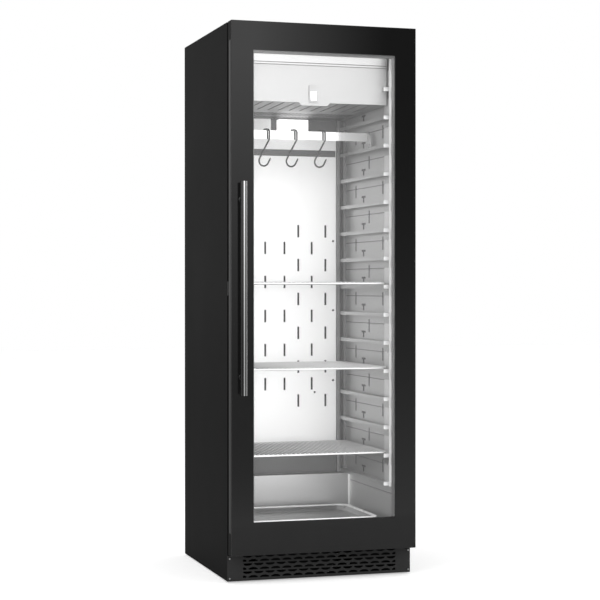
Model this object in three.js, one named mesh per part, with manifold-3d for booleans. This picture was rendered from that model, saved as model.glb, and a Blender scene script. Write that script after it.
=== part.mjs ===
// Dry aging cabinet with a glass door, in millimetres.
// +Z is up, the door faces -Y, and the origin lies on the floor under the middle of the cabinet.

import * as THREE from 'three';
import { mergeVertices } from 'three/addons/utils/BufferGeometryUtils.js';
import Module from 'manifold-3d';

const wasm = await Module();
wasm.setup();

// Whole cabinet, from front to back and from side to side
const width = 595;
const height = 1720;
const bodyDepth = 600;
const doorDepth = 42;
const gasketGap = 14;
const handleReach = 40;

// Clearances shared by the pieces
const clearance = 0.3;
const runningClearance = 0.6;
const overrun = 3;

// Sheet metal casing
const casingSheet = 1;
const floorGap = 4;
const faceReturn = 20;
const topReturn = 28;
const breakerDepth = 3;

// Insulated chamber
const sideWall = 35.5;
const rearWall = 45;
const ceilingWall = 60;
const chamberFloor = 155;
const linerSheet = 1;
const floorFoam = 36;

// Kick grille and its wave shaped vents
const kickHeight = 79;
const kickSheet = 2;
const kickGap = 1.3;
const ventMargin = 45.5;
const ventRowPitch = 12.4;
const ventWeb = 7;
const ventEndHeight = 3.8;
const ventBulge = 3.4;
const ventFirstRow = 9;
const ventColumns = 14;
const ventRows = 6;
const ventShoulderShare = 0.3;
const kickScrewRadius = 4;
const kickScrewHead = 1.6;
const kickScrewInset = 6.5;
const kickScrewMargin = 9;
const screwSides = 8;

// Base frame and levelling feet
const baseLift = 14;
const baseSheet = 1.5;
const baseFlange = 30;
const footRadius = 20;
const footDisc = 7;
const footChamfer = 2;
const footCollarRadius = 11;
const footStemRadius = 5;
const footStemTop = 40;
const footInsetSide = 42;
const footInsetFront = 40;

// Door panes, frame, gasket and trim
const hingeArm = 4;
const glass = 4;
const sideBorder = 68.5;
const topBorder = 88;
const bottomBorder = 99.4;
const spacerWidth = 10;
const spacerDepth = 22;
const spacerSideLap = 3;
const spacerTopLap = 7.5;
const spacerFootDrop = 4;
const flangeSetback = 3;
const gasketWidth = 11;
const gasketLap = 1;
const trimInset = 10;
const trimWidth = 21;
const trimSheet = 1.5;
const trimTopInset = 59;
const trimBottomInset = 68;

// Hinges on the right of the door
const hingeInset = 22;
const hingeForward = 20;
const hingePinRadius = 5;
const hingePinLength = 22;
const hingeArmWidth = 16;
const hingePlate = 2.2;
const hingePlateWidth = 29;
const hingePlateHeight = 38;
const hingeEdge = 1;
const hingeNotchDepth = 8;
const hingeNotchWidth = 44;

// Bar handle
const handleWidth = 20;
const handleThickness = 18;
const handleCorner = 4;
const handleInset = 20.5;
const handleLength = 650;
const standoffEndInset = 55;
const standoffRadius = 7;

// Magnetic door contact in the gap beside the door
const contactHeight = 43;
const contactDepth = 11;
const contactWidth = 10;
const contactInset = 1;

// Air panels that line the chamber
const sideDuct = 10;
const sidePanelFront = 30;
const sidePanelMargin = 5;
const rearDuct = 25;
const rearPanelGap = 0.7;
const panelSheet = 1;
const slotWidth = 5;
const slotHeight = 41;
const bandDrop = 304;
const bandHeight = 22;
const bandRise = 1.5;
const bandEndInset = 2;
const slotTopShare = 0.628;
const slotBottomShare = 0.2425;
const slotRows = 11;
const slotInnerShares = [0.156, 0.601];
const slotOuterShares = [0.381, 0.826];
const sideSlotPairShares = [0.234, 0.739];
const sideSlotMiddleShare = 0.4865;

// Box that closes the foot of the rear air duct
const airBoxDepth = 52;
const airBoxHeight = 117;

// Racks of runners on both side walls
const rackSheet = 1.5;
const runnerCount = 15;
const runnerTopDrop = 114;
const runnerBottomRise = 131;
const runnerWidth = 22;
const runnerLip = 12;
const runnerFront = 57;
const runnerStub = 15;
const frontPostInset = 45;
const frontPostWidth = 65;
const frontPostFlange = 8;
const postTopDrop = 20;
const rearPostWidth = 33;
const rearPostDepth = 35;
const rearPostLip = 10;
const ledgeSetback = 0.5;

// Evaporator cover, its fascia and its lamps
const coverFront = 75;
const coverSideGap = 7;
const coverHeight = 116;
const coverFall = 10;
const coverTopDrop = 53;
const cheekSetback = 3;
const coverTabCentre = 4;
const coverTabHalf = 51;
const coverTabFlat = 42;
const coverTabDrop = 9.5;
const louvreCount = 12;
const louvreSideMargin = 47;
const louvreWidth = 5;
const louvreStart = 12;
const louvreLength = 205;
const panSlotCount = 38;
const panSlotSideMargin = 23;
const panSlotWidth = 6;
const panSlotStart = 275;
const panSlotGap = 10;
const panSlotEndGap = 5.4;
const spoutWidth = 20;
const spoutLength = 21;
const fasciaHem = 6;
const fasciaLean = 10;
const statusWidth = 28;
const statusHeight = 54;
const statusDepth = 4;
const statusLens = 26;
const statusLensMargin = 3;
const statusLensRise = 1;
const lampLeft = 6;
const lampWidth = 103;
const lampHeight = 38;
const lampDepth = 36;
const lampLens = 4;
const lampLensMargin = 3;
const lampBelowPan = 3;
const ledEndInset = 45;
const ledDepth = 20;
const ledHeight = 6;
const ledInset = 14;

// Evaporator and its fan
const coilEndGap = 65;
const coilBackGap = 128;
const coilDepth = 90;
const coilHeight = 110;
const coilPlateThickness = 2;
const coilPlateLip = 6;
const coilBendSpan = 24;
const coilBendHeight = 6;
const coilBendReach = 10;
const coilRows = 4;
const fanSquare = 119;
const fanDepth = 25;
const fanBackGap = 68;
const fanWall = 4;
const fanHubRadius = 20;
const fanHubPlate = 4;
const fanStrut = 5;
const bladeThickness = 1.6;
const bladeGap = 2.5;
const bladeRoot = 2;
const bladeCount = 5;
const bladePitchAngle = Math.PI / 5;

// Hanging rail and hooks
const railInset = 250;
const railThickness = 4;
const railRunner = 3;
const railRise = 22;
const railHeight = 28;
const railEndInset = 10;
const railFootFrontReach = 28;
const railFootBackReach = 10;
const railFootHeight = 12;
const railKnobRadius = 6;
const railKnobReach = 5;
const knobSides = 10;
const railCurveSteps = 5;
const hookWire = 4.5;
const hookUpperRadius = 10;
const hookUpperTip = 11;
const hookLowerRadius = 17.4;
const hookLength = 124;
const hookLowerShift = -9.8;
const hookTipRise = 10;
const hookTipReach = 6;
const hookPlaceShares = [-0.4132, -0.0477, 0.3337];
const hookShankLean = 1;
const hookTurn = 2 * Math.PI / 9;
const hookLowerStart = 7 * Math.PI / 8;
const hookBendSteps = 6;
const hookSteps = 42;
const hookSides = 6;

// Wire shelves
const shelfRunners = [8, 11, 14];
const shelfSideGap = 10;
const shelfFront = 62;
const shelfBackGap = 28;
const shelfFrameThickness = 7;
const shelfWireThickness = 4;
const shelfWireMargin = 7.2;
const shelfWireCount = 32;
const shelfWireSinkDepth = 2;

// Drip tray on the chamber floor
const traySideGap = 27;
const trayFront = 80;
const trayBackGap = 48;
const trayHeight = 20;
const traySheet = 1.2;
const trayRim = 8;

// Machine compartment in the base, with shares of the cabinet's width
const compressorHeadroom = 2.2;
const compressorLengthShare = 0.37;
const compressorLeftShare = -0.336;
const compressorInset = 86;
const compressorDome = 14;
const compressorSaddle = 16;
const compressorSaddleDepth = 70;
const compressorSaddleInset = 40;
const compressorBoxWidth = 26;
const compressorBoxReach = 6;
const compressorBoxHeight = 40;
const condenserLeftShare = -0.336;
const condenserWidthShare = 0.437;
const condenserInset = 27;
const condenserDepth = 60;
const condenserHeadroom = 10.2;
const condenserFanGap = 15;
const controlLeftShare = 0.2;
const controlWidthShare = 0.252;
const controlInset = 52;
const controlDepth = 140;
const controlHeadroom = 32.2;
const controlLid = 6;
const panLeftShare = 0.1;
const panWidthShare = 0.3025;
const panDepth = 150;
const panInset = 18;
const panHeight = 30;
const panSheet = 2;
const drainRadius = 7;
const drainWall = 1.5;
const drainShare = 0.252;
const drainDip = 14;
const pipeRadius = 4;
const pipeInset = 30;
const pipeRise = 69;
const pipeGroove = 14;
const pipeRearGap = 9;
const inletShare = 0.3866;
const inletLevel = 75;
const inletWidth = 48;
const inletHeight = 28;
const inletDepth = 26;
const inletSocketWidth = 24;
const inletSocketHeight = 16;
const inletSocketDepth = 18;
const rearVentCount = 12;
const rearVentPitch = 14;
const rearVentWidth = 6;
const rearVentBottom = 34;
const rearVentHeight = 60;
const rearVentLeft = -190;

// Places worked out from the sizes above
const halfWidth = width / 2;
const depth = handleReach + doorDepth + gasketGap + bodyDepth;
const handleFront = -depth / 2;
const doorFront = handleFront + handleReach;
const doorBack = doorFront + doorDepth;
const bodyFront = doorBack + gasketGap;
const bodyBack = bodyFront + bodyDepth;
const chamberHalf = halfWidth - sideWall;
const chamberBack = bodyBack - rearWall;
const chamberCeiling = height - ceilingWall;
const chamberHeight = chamberCeiling - chamberFloor;
const chamberDepth = chamberBack - bodyFront;
const linerFront = bodyFront + breakerDepth + clearance;
const foamBottom = chamberFloor - linerSheet - floorFoam;
const kickTop = floorGap + kickHeight;
const hingeArmBottom = kickTop + kickGap;
const doorBottom = hingeArmBottom + hingeArm + clearance;
const baseTop = baseLift + baseSheet;
const doorMiddle = (doorBottom + height) / 2;
const windowHalf = halfWidth - sideBorder;
const windowBottom = doorBottom + bottomBorder;
const windowTop = height - topBorder;
const hingeX = halfWidth - hingeInset;
const hingeY = doorBack - hingeForward;
const sidePanelFace = chamberHalf - sideDuct;
const rearPanelFace = chamberBack - rearDuct;
const rackOuter = sidePanelFace - clearance;
const rearPanelHalf = rackOuter - rearPostWidth - rearPanelGap;
const runnerInner = rackOuter - runnerWidth;
const rearPostFront = chamberBack - clearance - rearPostDepth;
const runnerTopLevel = chamberCeiling - runnerTopDrop;
const runnerPitch = (runnerTopLevel - chamberFloor - runnerBottomRise) / (runnerCount - 1);
const coverHalf = sidePanelFace - coverSideGap;
const coverTop = chamberCeiling - coverTopDrop;
const coverBottom = coverTop - coverHeight;
const coverY = bodyFront + coverFront;
const coverBack = rearPanelFace - runningClearance;
const airBoxTop = chamberFloor + airBoxHeight;
const postBottom = airBoxTop + clearance;
const postTop = chamberCeiling - postTopDrop;
const coilHalf = coverHalf - coilEndGap;
const coilY = rearPanelFace - coilBackGap - coilDepth;
const fanY = rearPanelFace - fanBackGap - fanDepth;
const drainPlace = width * drainShare;
const drainY = (rearPanelFace + panelSheet + chamberBack) / 2;
const pipeY = bodyBack - casingSheet - pipeRearGap;
const pipePlace = pipeInset - coilHalf;
const pipeLevel = coverBottom + pipeRise;
const inletCentre = width * inletShare;
const roundSides = 12;
const roundTurn = Math.PI / 30;

// Finishes, as colour, roughness and metalness
const blackPaint = { color: 0x2b2b2c, roughness: 0.45, metalness: 0.1 };
const blackPlastic = { color: 0x19191a, roughness: 0.55, metalness: 0 };
const blackGlass = { color: 0x121315, roughness: 0.08, metalness: 0 };
const clearGlass = { color: 0xe8eef0, roughness: 0.05, metalness: 0 };
const paleAluminium = { color: 0xb9babc, roughness: 0.4, metalness: 0.9 };
const brushedSteel = { color: 0xc8c9ca, roughness: 0.32, metalness: 1 };
const brightSteel = { color: 0xd8d9da, roughness: 0.2, metalness: 1 };
const galvanised = { color: 0x9a9d9f, roughness: 0.5, metalness: 0.8 };
const foam = { color: 0xd9c98e, roughness: 0.9, metalness: 0 };
const rubber = { color: 0x111112, roughness: 0.8, metalness: 0 };
const litPlastic = { color: 0xf6f7f8, roughness: 0.4, metalness: 0 };
const copper = { color: 0xb87345, roughness: 0.35, metalness: 1 };
const greyPlastic = { color: 0x6e7174, roughness: 0.6, metalness: 0 };

function solidOf(shape) {
  if (!shape.isBufferGeometry) return shape;
  const bare = shape.clone();
  bare.deleteAttribute('normal');
  bare.deleteAttribute('uv');
  const merged = mergeVertices(bare);
  const corners = merged.index.array;
  const kept = [];
  for (let i = 0; i < corners.length; i += 3) {
    const [a, b, c] = [corners[i], corners[i + 1], corners[i + 2]];
    if (a !== b && b !== c && c !== a) kept.push(a, b, c);
  }
  const vertProperties = new Float32Array(merged.attributes.position.array);
  const triVerts = new Uint32Array(kept);
  return new wasm.Manifold(new wasm.Mesh({ numProp: 3, vertProperties, triVerts }));
}

function geometryOf(solid) {
  const mesh = solid.getMesh();
  const geometry = new THREE.BufferGeometry();
  geometry.setAttribute('position', new THREE.BufferAttribute(mesh.vertProperties, 3));
  geometry.setIndex(new THREE.BufferAttribute(mesh.triVerts, 1));
  return geometry;
}

function join(...shapes) {
  return shapes.map(solidOf).reduce((whole, next) => whole.add(next));
}

function cut(shape, ...tools) {
  return tools.map(solidOf).reduce((whole, next) => whole.subtract(next), solidOf(shape));
}

function block(x0, x1, y0, y1, z0, z1) {
  const box = new THREE.BoxGeometry(x1 - x0, y1 - y0, z1 - z0);
  return box.translate((x0 + x1) / 2, (y0 + y1) / 2, (z0 + z1) / 2);
}

function path(points) {
  return new THREE.Shape(points.map(([a, b]) => new THREE.Vector2(a, b)));
}

function rectangle(a0, a1, b0, b1) {
  return path([[a0, b0], [a1, b0], [a1, b1], [a0, b1]]);
}

// A flat shape given in two axes is extruded along the third
function alongZ(shape, z0, z1) {
  return new THREE.ExtrudeGeometry(shape, { depth: z1 - z0, bevelEnabled: false }).translate(0, 0, z0);
}

function alongY(shape, y0, y1) {
  const prism = new THREE.ExtrudeGeometry(shape, { depth: y1 - y0, bevelEnabled: false });
  return prism.rotateX(Math.PI / 2).translate(0, y1, 0);
}

function alongX(shape, x0, x1) {
  const prism = new THREE.ExtrudeGeometry(shape, { depth: x1 - x0, bevelEnabled: false });
  const [x, y, z] = [new THREE.Vector3(1, 0, 0), new THREE.Vector3(0, 1, 0), new THREE.Vector3(0, 0, 1)];
  return prism.applyMatrix4(new THREE.Matrix4().makeBasis(y, z, x)).translate(x0, 0, 0);
}

function slotted(shape, along, holes, start, end) {
  return cut(shape, ...holes.map((hole) => along(hole, start - overrun, end + overrun)));
}

function perforated(along, outline, holes, start, end) {
  return slotted(along(outline, start, end), along, holes, start, end);
}

// Round outlines are turned a little, so that corners of neighbouring holes don't line up
function cylinder(radius, length, sides) {
  return new THREE.CylinderGeometry(radius, radius, length, sides, 1, false, roundTurn);
}

function rodZ(radius, x, y, z0, z1, sides = roundSides) {
  const rod = cylinder(radius, z1 - z0, sides).rotateX(Math.PI / 2);
  return rod.translate(x, y, (z0 + z1) / 2);
}

function rodY(radius, x, z, y0, y1, sides = roundSides) {
  return cylinder(radius, y1 - y0, sides).translate(x, (y0 + y1) / 2, z);
}

function rodX(radius, y, z, x0, x1, sides = roundSides) {
  const rod = cylinder(radius, x1 - x0, sides).rotateZ(Math.PI / 2);
  return rod.translate((x0 + x1) / 2, y, z);
}

// Radius at which the flats of a round hole clear a pin that turns in it
function boreRadius(radius, sides = roundSides) {
  return (radius + clearance) / Math.cos(Math.PI / sides);
}

function wireAlong(points, radius, sides, steps) {
  const round = Array.from({ length: sides }, (_, i) => {
    const angle = 2 * Math.PI * i / sides;
    return [radius * Math.cos(angle), radius * Math.sin(angle)];
  });
  const extrudePath = new THREE.CatmullRomCurve3(points);
  return new THREE.ExtrudeGeometry(path(round), { steps, extrudePath, bevelEnabled: false });
}

const cabinet = new THREE.Group();

function piece(name, shape, finish, group = cabinet) {
  const geometry = geometryOf(solidOf(shape)).toNonIndexed();
  geometry.computeVertexNormals();
  const mesh = new THREE.Mesh(geometry, new THREE.MeshStandardMaterial(finish));
  mesh.name = name;
  group.add(mesh);
  return mesh;
}

// Casing

function sidePanel(side) {
  const outer = side * halfWidth;
  const inner = side * (halfWidth - casingSheet);
  const plan = path([
    [outer, bodyFront],
    [outer, bodyBack],
    [inner, bodyBack],
    [inner, bodyFront + casingSheet],
    [side * (halfWidth - faceReturn), bodyFront + casingSheet],
    [side * (halfWidth - faceReturn), bodyFront],
  ]);
  return alongZ(plan, floorGap, height - casingSheet - clearance);
}

function topPanel() {
  const under = height - casingSheet;
  const half = halfWidth - faceReturn - clearance;
  return join(
    block(-halfWidth, halfWidth, bodyFront, bodyBack, under, height),
    block(-half, half, bodyFront, bodyFront + casingSheet, height - topReturn, height - casingSheet / 2),
  );
}

function rearPanel() {
  const half = halfWidth - casingSheet - clearance;
  const vents = Array.from({ length: rearVentCount }, (_, i) => {
    const left = rearVentLeft + i * rearVentPitch;
    return rectangle(left, left + rearVentWidth, rearVentBottom, rearVentBottom + rearVentHeight);
  });
  const inletHalf = inletWidth / 2 + clearance;
  const inletRise = inletHeight / 2 + clearance;
  const inletHole = rectangle(
    inletCentre - inletHalf, inletCentre + inletHalf,
    inletLevel - inletRise, inletLevel + inletRise,
  );
  const sheet = rectangle(-half, half, floorGap, height - casingSheet - clearance);
  return perforated(alongY, sheet, [...vents, inletHole], bodyBack - casingSheet, bodyBack);
}

const footPlaces = [-1, 1].flatMap((side) => [-1, 1].map((end) => ({
  x: side * (halfWidth - footInsetSide),
  y: end < 0 ? bodyFront + footInsetFront : bodyBack - footInsetFront,
})));

function baseFrame() {
  const half = halfWidth - casingSheet - clearance;
  const front = bodyFront + casingSheet + clearance;
  const back = bodyBack - casingSheet - clearance;
  const [inner, lip] = [half - baseSheet, baseLift + baseFlange];
  const profile = path([
    [-half, baseLift],
    [half, baseLift],
    [half, lip],
    [inner, lip],
    [inner, baseTop],
    [-inner, baseTop],
    [-inner, lip],
    [-half, lip],
  ]);
  const stemHole = boreRadius(footStemRadius);
  const holes = footPlaces.map(({ x, y }) => rodZ(stemHole, x, y, baseLift - overrun, baseTop + overrun));
  const lipFront = front + baseSheet;
  const frontLip = block(-inner, inner, lipFront, lipFront + baseSheet, floorGap, baseTop - baseSheet / 2);
  return cut(join(alongY(profile, front, back), frontLip), ...holes);
}

function frontFrame() {
  const half = halfWidth - faceReturn - clearance;
  const top = height - topReturn - clearance;
  const ring = rectangle(-half, half, doorBottom, top);
  const mouth = rectangle(-chamberHalf, chamberHalf, chamberFloor, chamberCeiling);
  return perforated(alongY, ring, [mouth], bodyFront, bodyFront + breakerDepth);
}

const ventPitch = (width - 2 * ventMargin) / ventColumns;

// A vent is a slot with one bulging side, and the rows are flipped and set off in turn
function ventOutline(left, right, level, flip) {
  const length = ventPitch - ventWeb;
  const centre = (left + right) / 2;
  const start = centre - length / 2;
  const shoulders = [ventShoulderShare, 1 - ventShoulderShare].map((share) => start + share * length);
  const edge = [[left, 0], [right, 0], [right, ventEndHeight]];
  edge.push([shoulders[1], ventEndHeight + ventBulge], [shoulders[0], ventEndHeight + ventBulge]);
  edge.push([left, ventEndHeight]);
  const middle = (ventEndHeight + ventBulge) / 2;
  return path(edge.map(([x, z]) => [x, level + flip * (z - middle)]));
}

function halfVentOutline(side, level, flip) {
  const reach = ventColumns * ventPitch / 2 - ventWeb / 2;
  const length = ventPitch / 2 - ventWeb / 2;
  const shoulder = (ventPitch - ventWeb) * (1 / 2 - ventShoulderShare);
  const edge = [
    [0, 0], [length - ventWeb / 2, 0], [length - ventWeb / 2, ventEndHeight],
    [shoulder, ventEndHeight + ventBulge], [0, ventEndHeight + ventBulge],
  ];
  const middle = (ventEndHeight + ventBulge) / 2;
  return path(edge.map(([x, z]) => [side * (reach - x), level + flip * (z - middle)]));
}

function kickGrille() {
  const front = bodyFront - clearance - kickSheet;
  const vents = [];
  for (let row = 0; row < ventRows; row += 1) {
    const level = floorGap + ventFirstRow + row * ventRowPitch + (ventEndHeight + ventBulge) / 2;
    const odd = row % 2;
    const flip = odd ? -1 : 1;
    const count = odd ? ventColumns : ventColumns - 1;
    for (let column = 0; column < count; column += 1) {
      const left = (column - count / 2) * ventPitch + ventWeb / 2;
      vents.push(ventOutline(left, left + ventPitch - ventWeb, level, flip));
    }
    if (!odd) vents.push(halfVentOutline(-1, level, flip), halfVentOutline(1, level, flip));
  }
  const sheet = rectangle(-halfWidth, halfWidth, floorGap, kickTop);
  const screwLevels = [floorGap + kickScrewMargin, kickTop - kickScrewMargin];
  const screws = [-1, 1].flatMap((side) => screwLevels.map((level) => {
    const x = side * (halfWidth - kickScrewInset);
    return rodY(kickScrewRadius, x, level, front - kickScrewHead, bodyFront - clearance, screwSides);
  }));
  return join(perforated(alongY, sheet, vents, front, bodyFront - clearance), ...screws);
}

function levellingFoot() {
  const seat = baseLift - clearance;
  const profile = [
    [0, 0],
    [footRadius - footChamfer, 0],
    [footRadius, footChamfer],
    [footRadius, footDisc],
    [footCollarRadius, footDisc + footChamfer],
    [footCollarRadius, seat],
    [footStemRadius, seat],
    [footStemRadius, footStemTop],
    [0, footStemTop],
  ];
  const points = profile.map(([r, z]) => new THREE.Vector2(r, z));
  return new THREE.LatheGeometry(points, roundSides).rotateX(Math.PI / 2);
}

piece('side_panel_left', sidePanel(-1), blackPaint);
piece('side_panel_right', sidePanel(1), blackPaint);
piece('top_panel', topPanel(), blackPaint);
piece('rear_panel', rearPanel(), galvanised);
piece('base_frame', baseFrame(), blackPaint);
piece('front_frame', frontFrame(), blackPlastic);
piece('kick_grille', kickGrille(), blackPaint);

footPlaces.forEach(({ x, y }, index) => {
  const foot = piece(`levelling_foot_${index + 1}`, levellingFoot(), rubber);
  foot.position.set(x, y, 0);
});

// Foam and steel liner

function drainHole(z0, z1) {
  return rodZ(boreRadius(drainRadius), drainPlace, drainY, z0, z1);
}

function pipeHole(y0, y1) {
  const half = pipeGroove / 2;
  return block(pipePlace - half, pipePlace + half, y0, y1, pipeLevel - half, pipeLevel + half);
}

function insulation() {
  const half = halfWidth - casingSheet - clearance;
  const back = bodyBack - casingSheet - clearance;
  const fit = linerSheet + clearance;
  const cavity = block(
    -chamberHalf - fit, chamberHalf + fit,
    linerFront - overrun, chamberBack + fit,
    chamberFloor - fit, chamberCeiling + fit,
  );
  const top = height - casingSheet - clearance;
  const grooveFront = pipeY - pipeGroove / 2;
  const groove = block(
    pipePlace - pipeGroove / 2, pipePlace + pipeGroove / 2,
    grooveFront, back + overrun,
    foamBottom - overrun, pipeLevel + pipeGroove / 2,
  );
  return cut(
    block(-half, half, linerFront, back, foamBottom, top),
    cavity,
    groove,
    pipeHole(chamberBack, grooveFront + overrun),
    drainHole(foamBottom - overrun, chamberFloor),
  );
}

function linerSide(side) {
  const [a, b] = [side * chamberHalf, side * (chamberHalf + linerSheet)].sort((p, q) => p - q);
  const back = chamberBack + linerSheet;
  return block(a, b, linerFront, back, chamberFloor + clearance, chamberCeiling - clearance);
}

function linerLevel(z0, z1) {
  const half = chamberHalf + linerSheet;
  return block(-half, half, linerFront, chamberBack + linerSheet, z0, z1);
}

function linerRear() {
  const half = chamberHalf - clearance;
  const sheet = block(
    -half, half, chamberBack, chamberBack + linerSheet,
    chamberFloor + clearance, chamberCeiling - clearance,
  );
  return cut(sheet, pipeHole(chamberBack - overrun, chamberBack + linerSheet + overrun));
}

piece('insulation', insulation(), foam);
piece('liner_left', linerSide(-1), brushedSteel);
piece('liner_right', linerSide(1), brushedSteel);
piece('liner_rear', linerRear(), brushedSteel);
piece('liner_top', linerLevel(chamberCeiling, chamberCeiling + linerSheet), brushedSteel);
const linerFloorSheet = linerLevel(chamberFloor - linerSheet, chamberFloor);
piece('liner_floor', cut(linerFloorSheet, drainHole(foamBottom, chamberFloor + overrun)), brushedSteel);

// Air panels and air box

function rearAirPanel() {
  const slots = [];
  const slotTop = chamberFloor + slotTopShare * chamberHeight;
  const slotRowPitch = (slotTopShare - slotBottomShare) * chamberHeight / (slotRows - 1);
  for (let row = 0; row < slotRows; row += 1) {
    const shares = row % 2 ? slotInnerShares : slotOuterShares;
    const level = slotTop - row * slotRowPitch;
    for (const column of shares.flatMap((share) => [-share * rearPanelHalf, share * rearPanelHalf])) {
      slots.push(rectangle(
        column - slotWidth / 2, column + slotWidth / 2,
        level - slotHeight / 2, level + slotHeight / 2,
      ));
    }
  }
  const bottom = chamberFloor + clearance;
  const top = coverBottom - coverFall - clearance;
  const [half, inner] = [rearPanelHalf, rearPanelHalf - panelSheet];
  const [rear, reach] = [rearPanelFace + panelSheet, chamberBack - clearance];
  const plan = path([
    [-half, rearPanelFace],
    [half, rearPanelFace],
    [half, reach],
    [inner, reach],
    [inner, rear],
    [-inner, rear],
    [-inner, reach],
    [-half, reach],
  ]);
  const bandBottom = chamberCeiling - bandDrop;
  const bandHalf = half - bandEndInset;
  const band = block(
    -bandHalf, bandHalf, rearPanelFace - bandRise, rearPanelFace + panelSheet / 2,
    bandBottom, bandBottom + bandHeight,
  );
  return join(slotted(alongZ(plan, bottom, top), alongY, slots, rearPanelFace, rear), band);
}

const runnerLevels = Array.from({ length: runnerCount }, (_, i) => runnerTopLevel - i * runnerPitch);

function sideAirPanel(side) {
  const front = bodyFront + sidePanelFront;
  const back = chamberBack - clearance;
  const bottom = chamberFloor + sidePanelMargin;
  const top = chamberCeiling - sidePanelMargin;
  const slots = runnerLevels.slice(1, -1).flatMap((level, bay) => {
    const centre = level - runnerPitch / 2;
    const shares = bay % 2 ? [sideSlotMiddleShare] : sideSlotPairShares;
    return shares.map((share) => {
      const place = bodyFront + share * chamberDepth;
      return rectangle(
        place - slotWidth / 2, place + slotWidth / 2,
        centre - slotHeight / 2, centre + slotHeight / 2,
      );
    });
  });
  const [face, rear, reach] = [sidePanelFace, sidePanelFace + panelSheet, chamberHalf - clearance];
  const plan = path([
    [face, front],
    [reach, front],
    [reach, front + panelSheet],
    [rear, front + panelSheet],
    [rear, back - panelSheet],
    [reach, back - panelSheet],
    [reach, back],
    [face, back],
  ].map(([x, y]) => [side * x, y]));
  const [a, b] = [side * face, side * rear].sort((p, q) => p - q);
  return slotted(alongZ(plan, bottom, top), alongX, slots, a, b);
}

function lowerAirBox() {
  const face = rearPanelFace - airBoxDepth;
  const profile = path([
    [face, chamberFloor + clearance],
    [face + panelSheet, chamberFloor + clearance],
    [face + panelSheet, airBoxTop - panelSheet],
    [rearPanelFace - clearance, airBoxTop - panelSheet],
    [rearPanelFace - clearance, airBoxTop],
    [face, airBoxTop],
  ]);
  return alongX(profile, -sidePanelFace + clearance, sidePanelFace - clearance);
}

piece('rear_air_panel', rearAirPanel(), brushedSteel);
piece('side_air_panel_left', sideAirPanel(-1), brushedSteel);
piece('side_air_panel_right', sideAirPanel(1), brushedSteel);
piece('lower_air_box', lowerAirBox(), brushedSteel);

// Racks: a front post, a rear post and the runners welded between them

function rack(side) {
  const order = (a, b) => [side * a, side * b].sort((p, q) => p - q);
  const postFront = bodyFront + frontPostInset;
  const angle = path([
    [rackOuter - frontPostFlange, postFront],
    [rackOuter, postFront],
    [rackOuter, postFront + frontPostWidth],
    [rackOuter - rackSheet, postFront + frontPostWidth],
    [rackOuter - rackSheet, postFront + rackSheet],
    [rackOuter - frontPostFlange, postFront + rackSheet],
  ].map(([x, y]) => [side * x, y]));
  const pieces = [alongZ(angle, postBottom, postTop)];
  const [inner, outer] = [rackOuter - rearPostWidth, rackOuter];
  const [front, back] = [rearPostFront, chamberBack - clearance];
  const channel = path([
    [inner, front],
    [inner + rearPostLip, front],
    [inner + rearPostLip, front + rackSheet],
    [inner + rackSheet, front + rackSheet],
    [inner + rackSheet, back - rackSheet],
    [outer - rackSheet, back - rackSheet],
    [outer - rackSheet, front + rackSheet],
    [outer - rearPostLip, front + rackSheet],
    [outer - rearPostLip, front],
    [outer, front],
    [outer, back],
    [inner, back],
  ].map(([x, y]) => [side * x, y]));
  pieces.push(alongZ(channel, postBottom, coverBottom - coverFall - clearance));
  const [ledgeA, ledgeB] = order(runnerInner, rackOuter - ledgeSetback);
  const [lipA, lipB] = order(runnerInner, runnerInner + rackSheet);
  runnerLevels.forEach((level, index) => {
    const start = bodyFront + runnerFront;
    const end = index ? rearPostFront + rackSheet / 2 : start + runnerStub;
    pieces.push(
      block(ledgeA, ledgeB, start, end, level - rackSheet, level),
      block(lipA, lipB, start, end, level - runnerLip, level - rackSheet / 2),
      block(ledgeA, ledgeB, start, start + rackSheet, level - runnerLip, level - rackSheet / 2),
    );
  });
  return join(...pieces);
}

piece('rack_left', rack(-1), brightSteel);
piece('rack_right', rack(1), brightSteel);

// Evaporator cover: a front face with a centre tab, end cheeks and a louvred pan that falls to the rear

function panTop(y) {
  const share = (y - coverY) / (coverBack - coverY);
  return coverBottom + panelSheet - share * coverFall;
}

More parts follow.
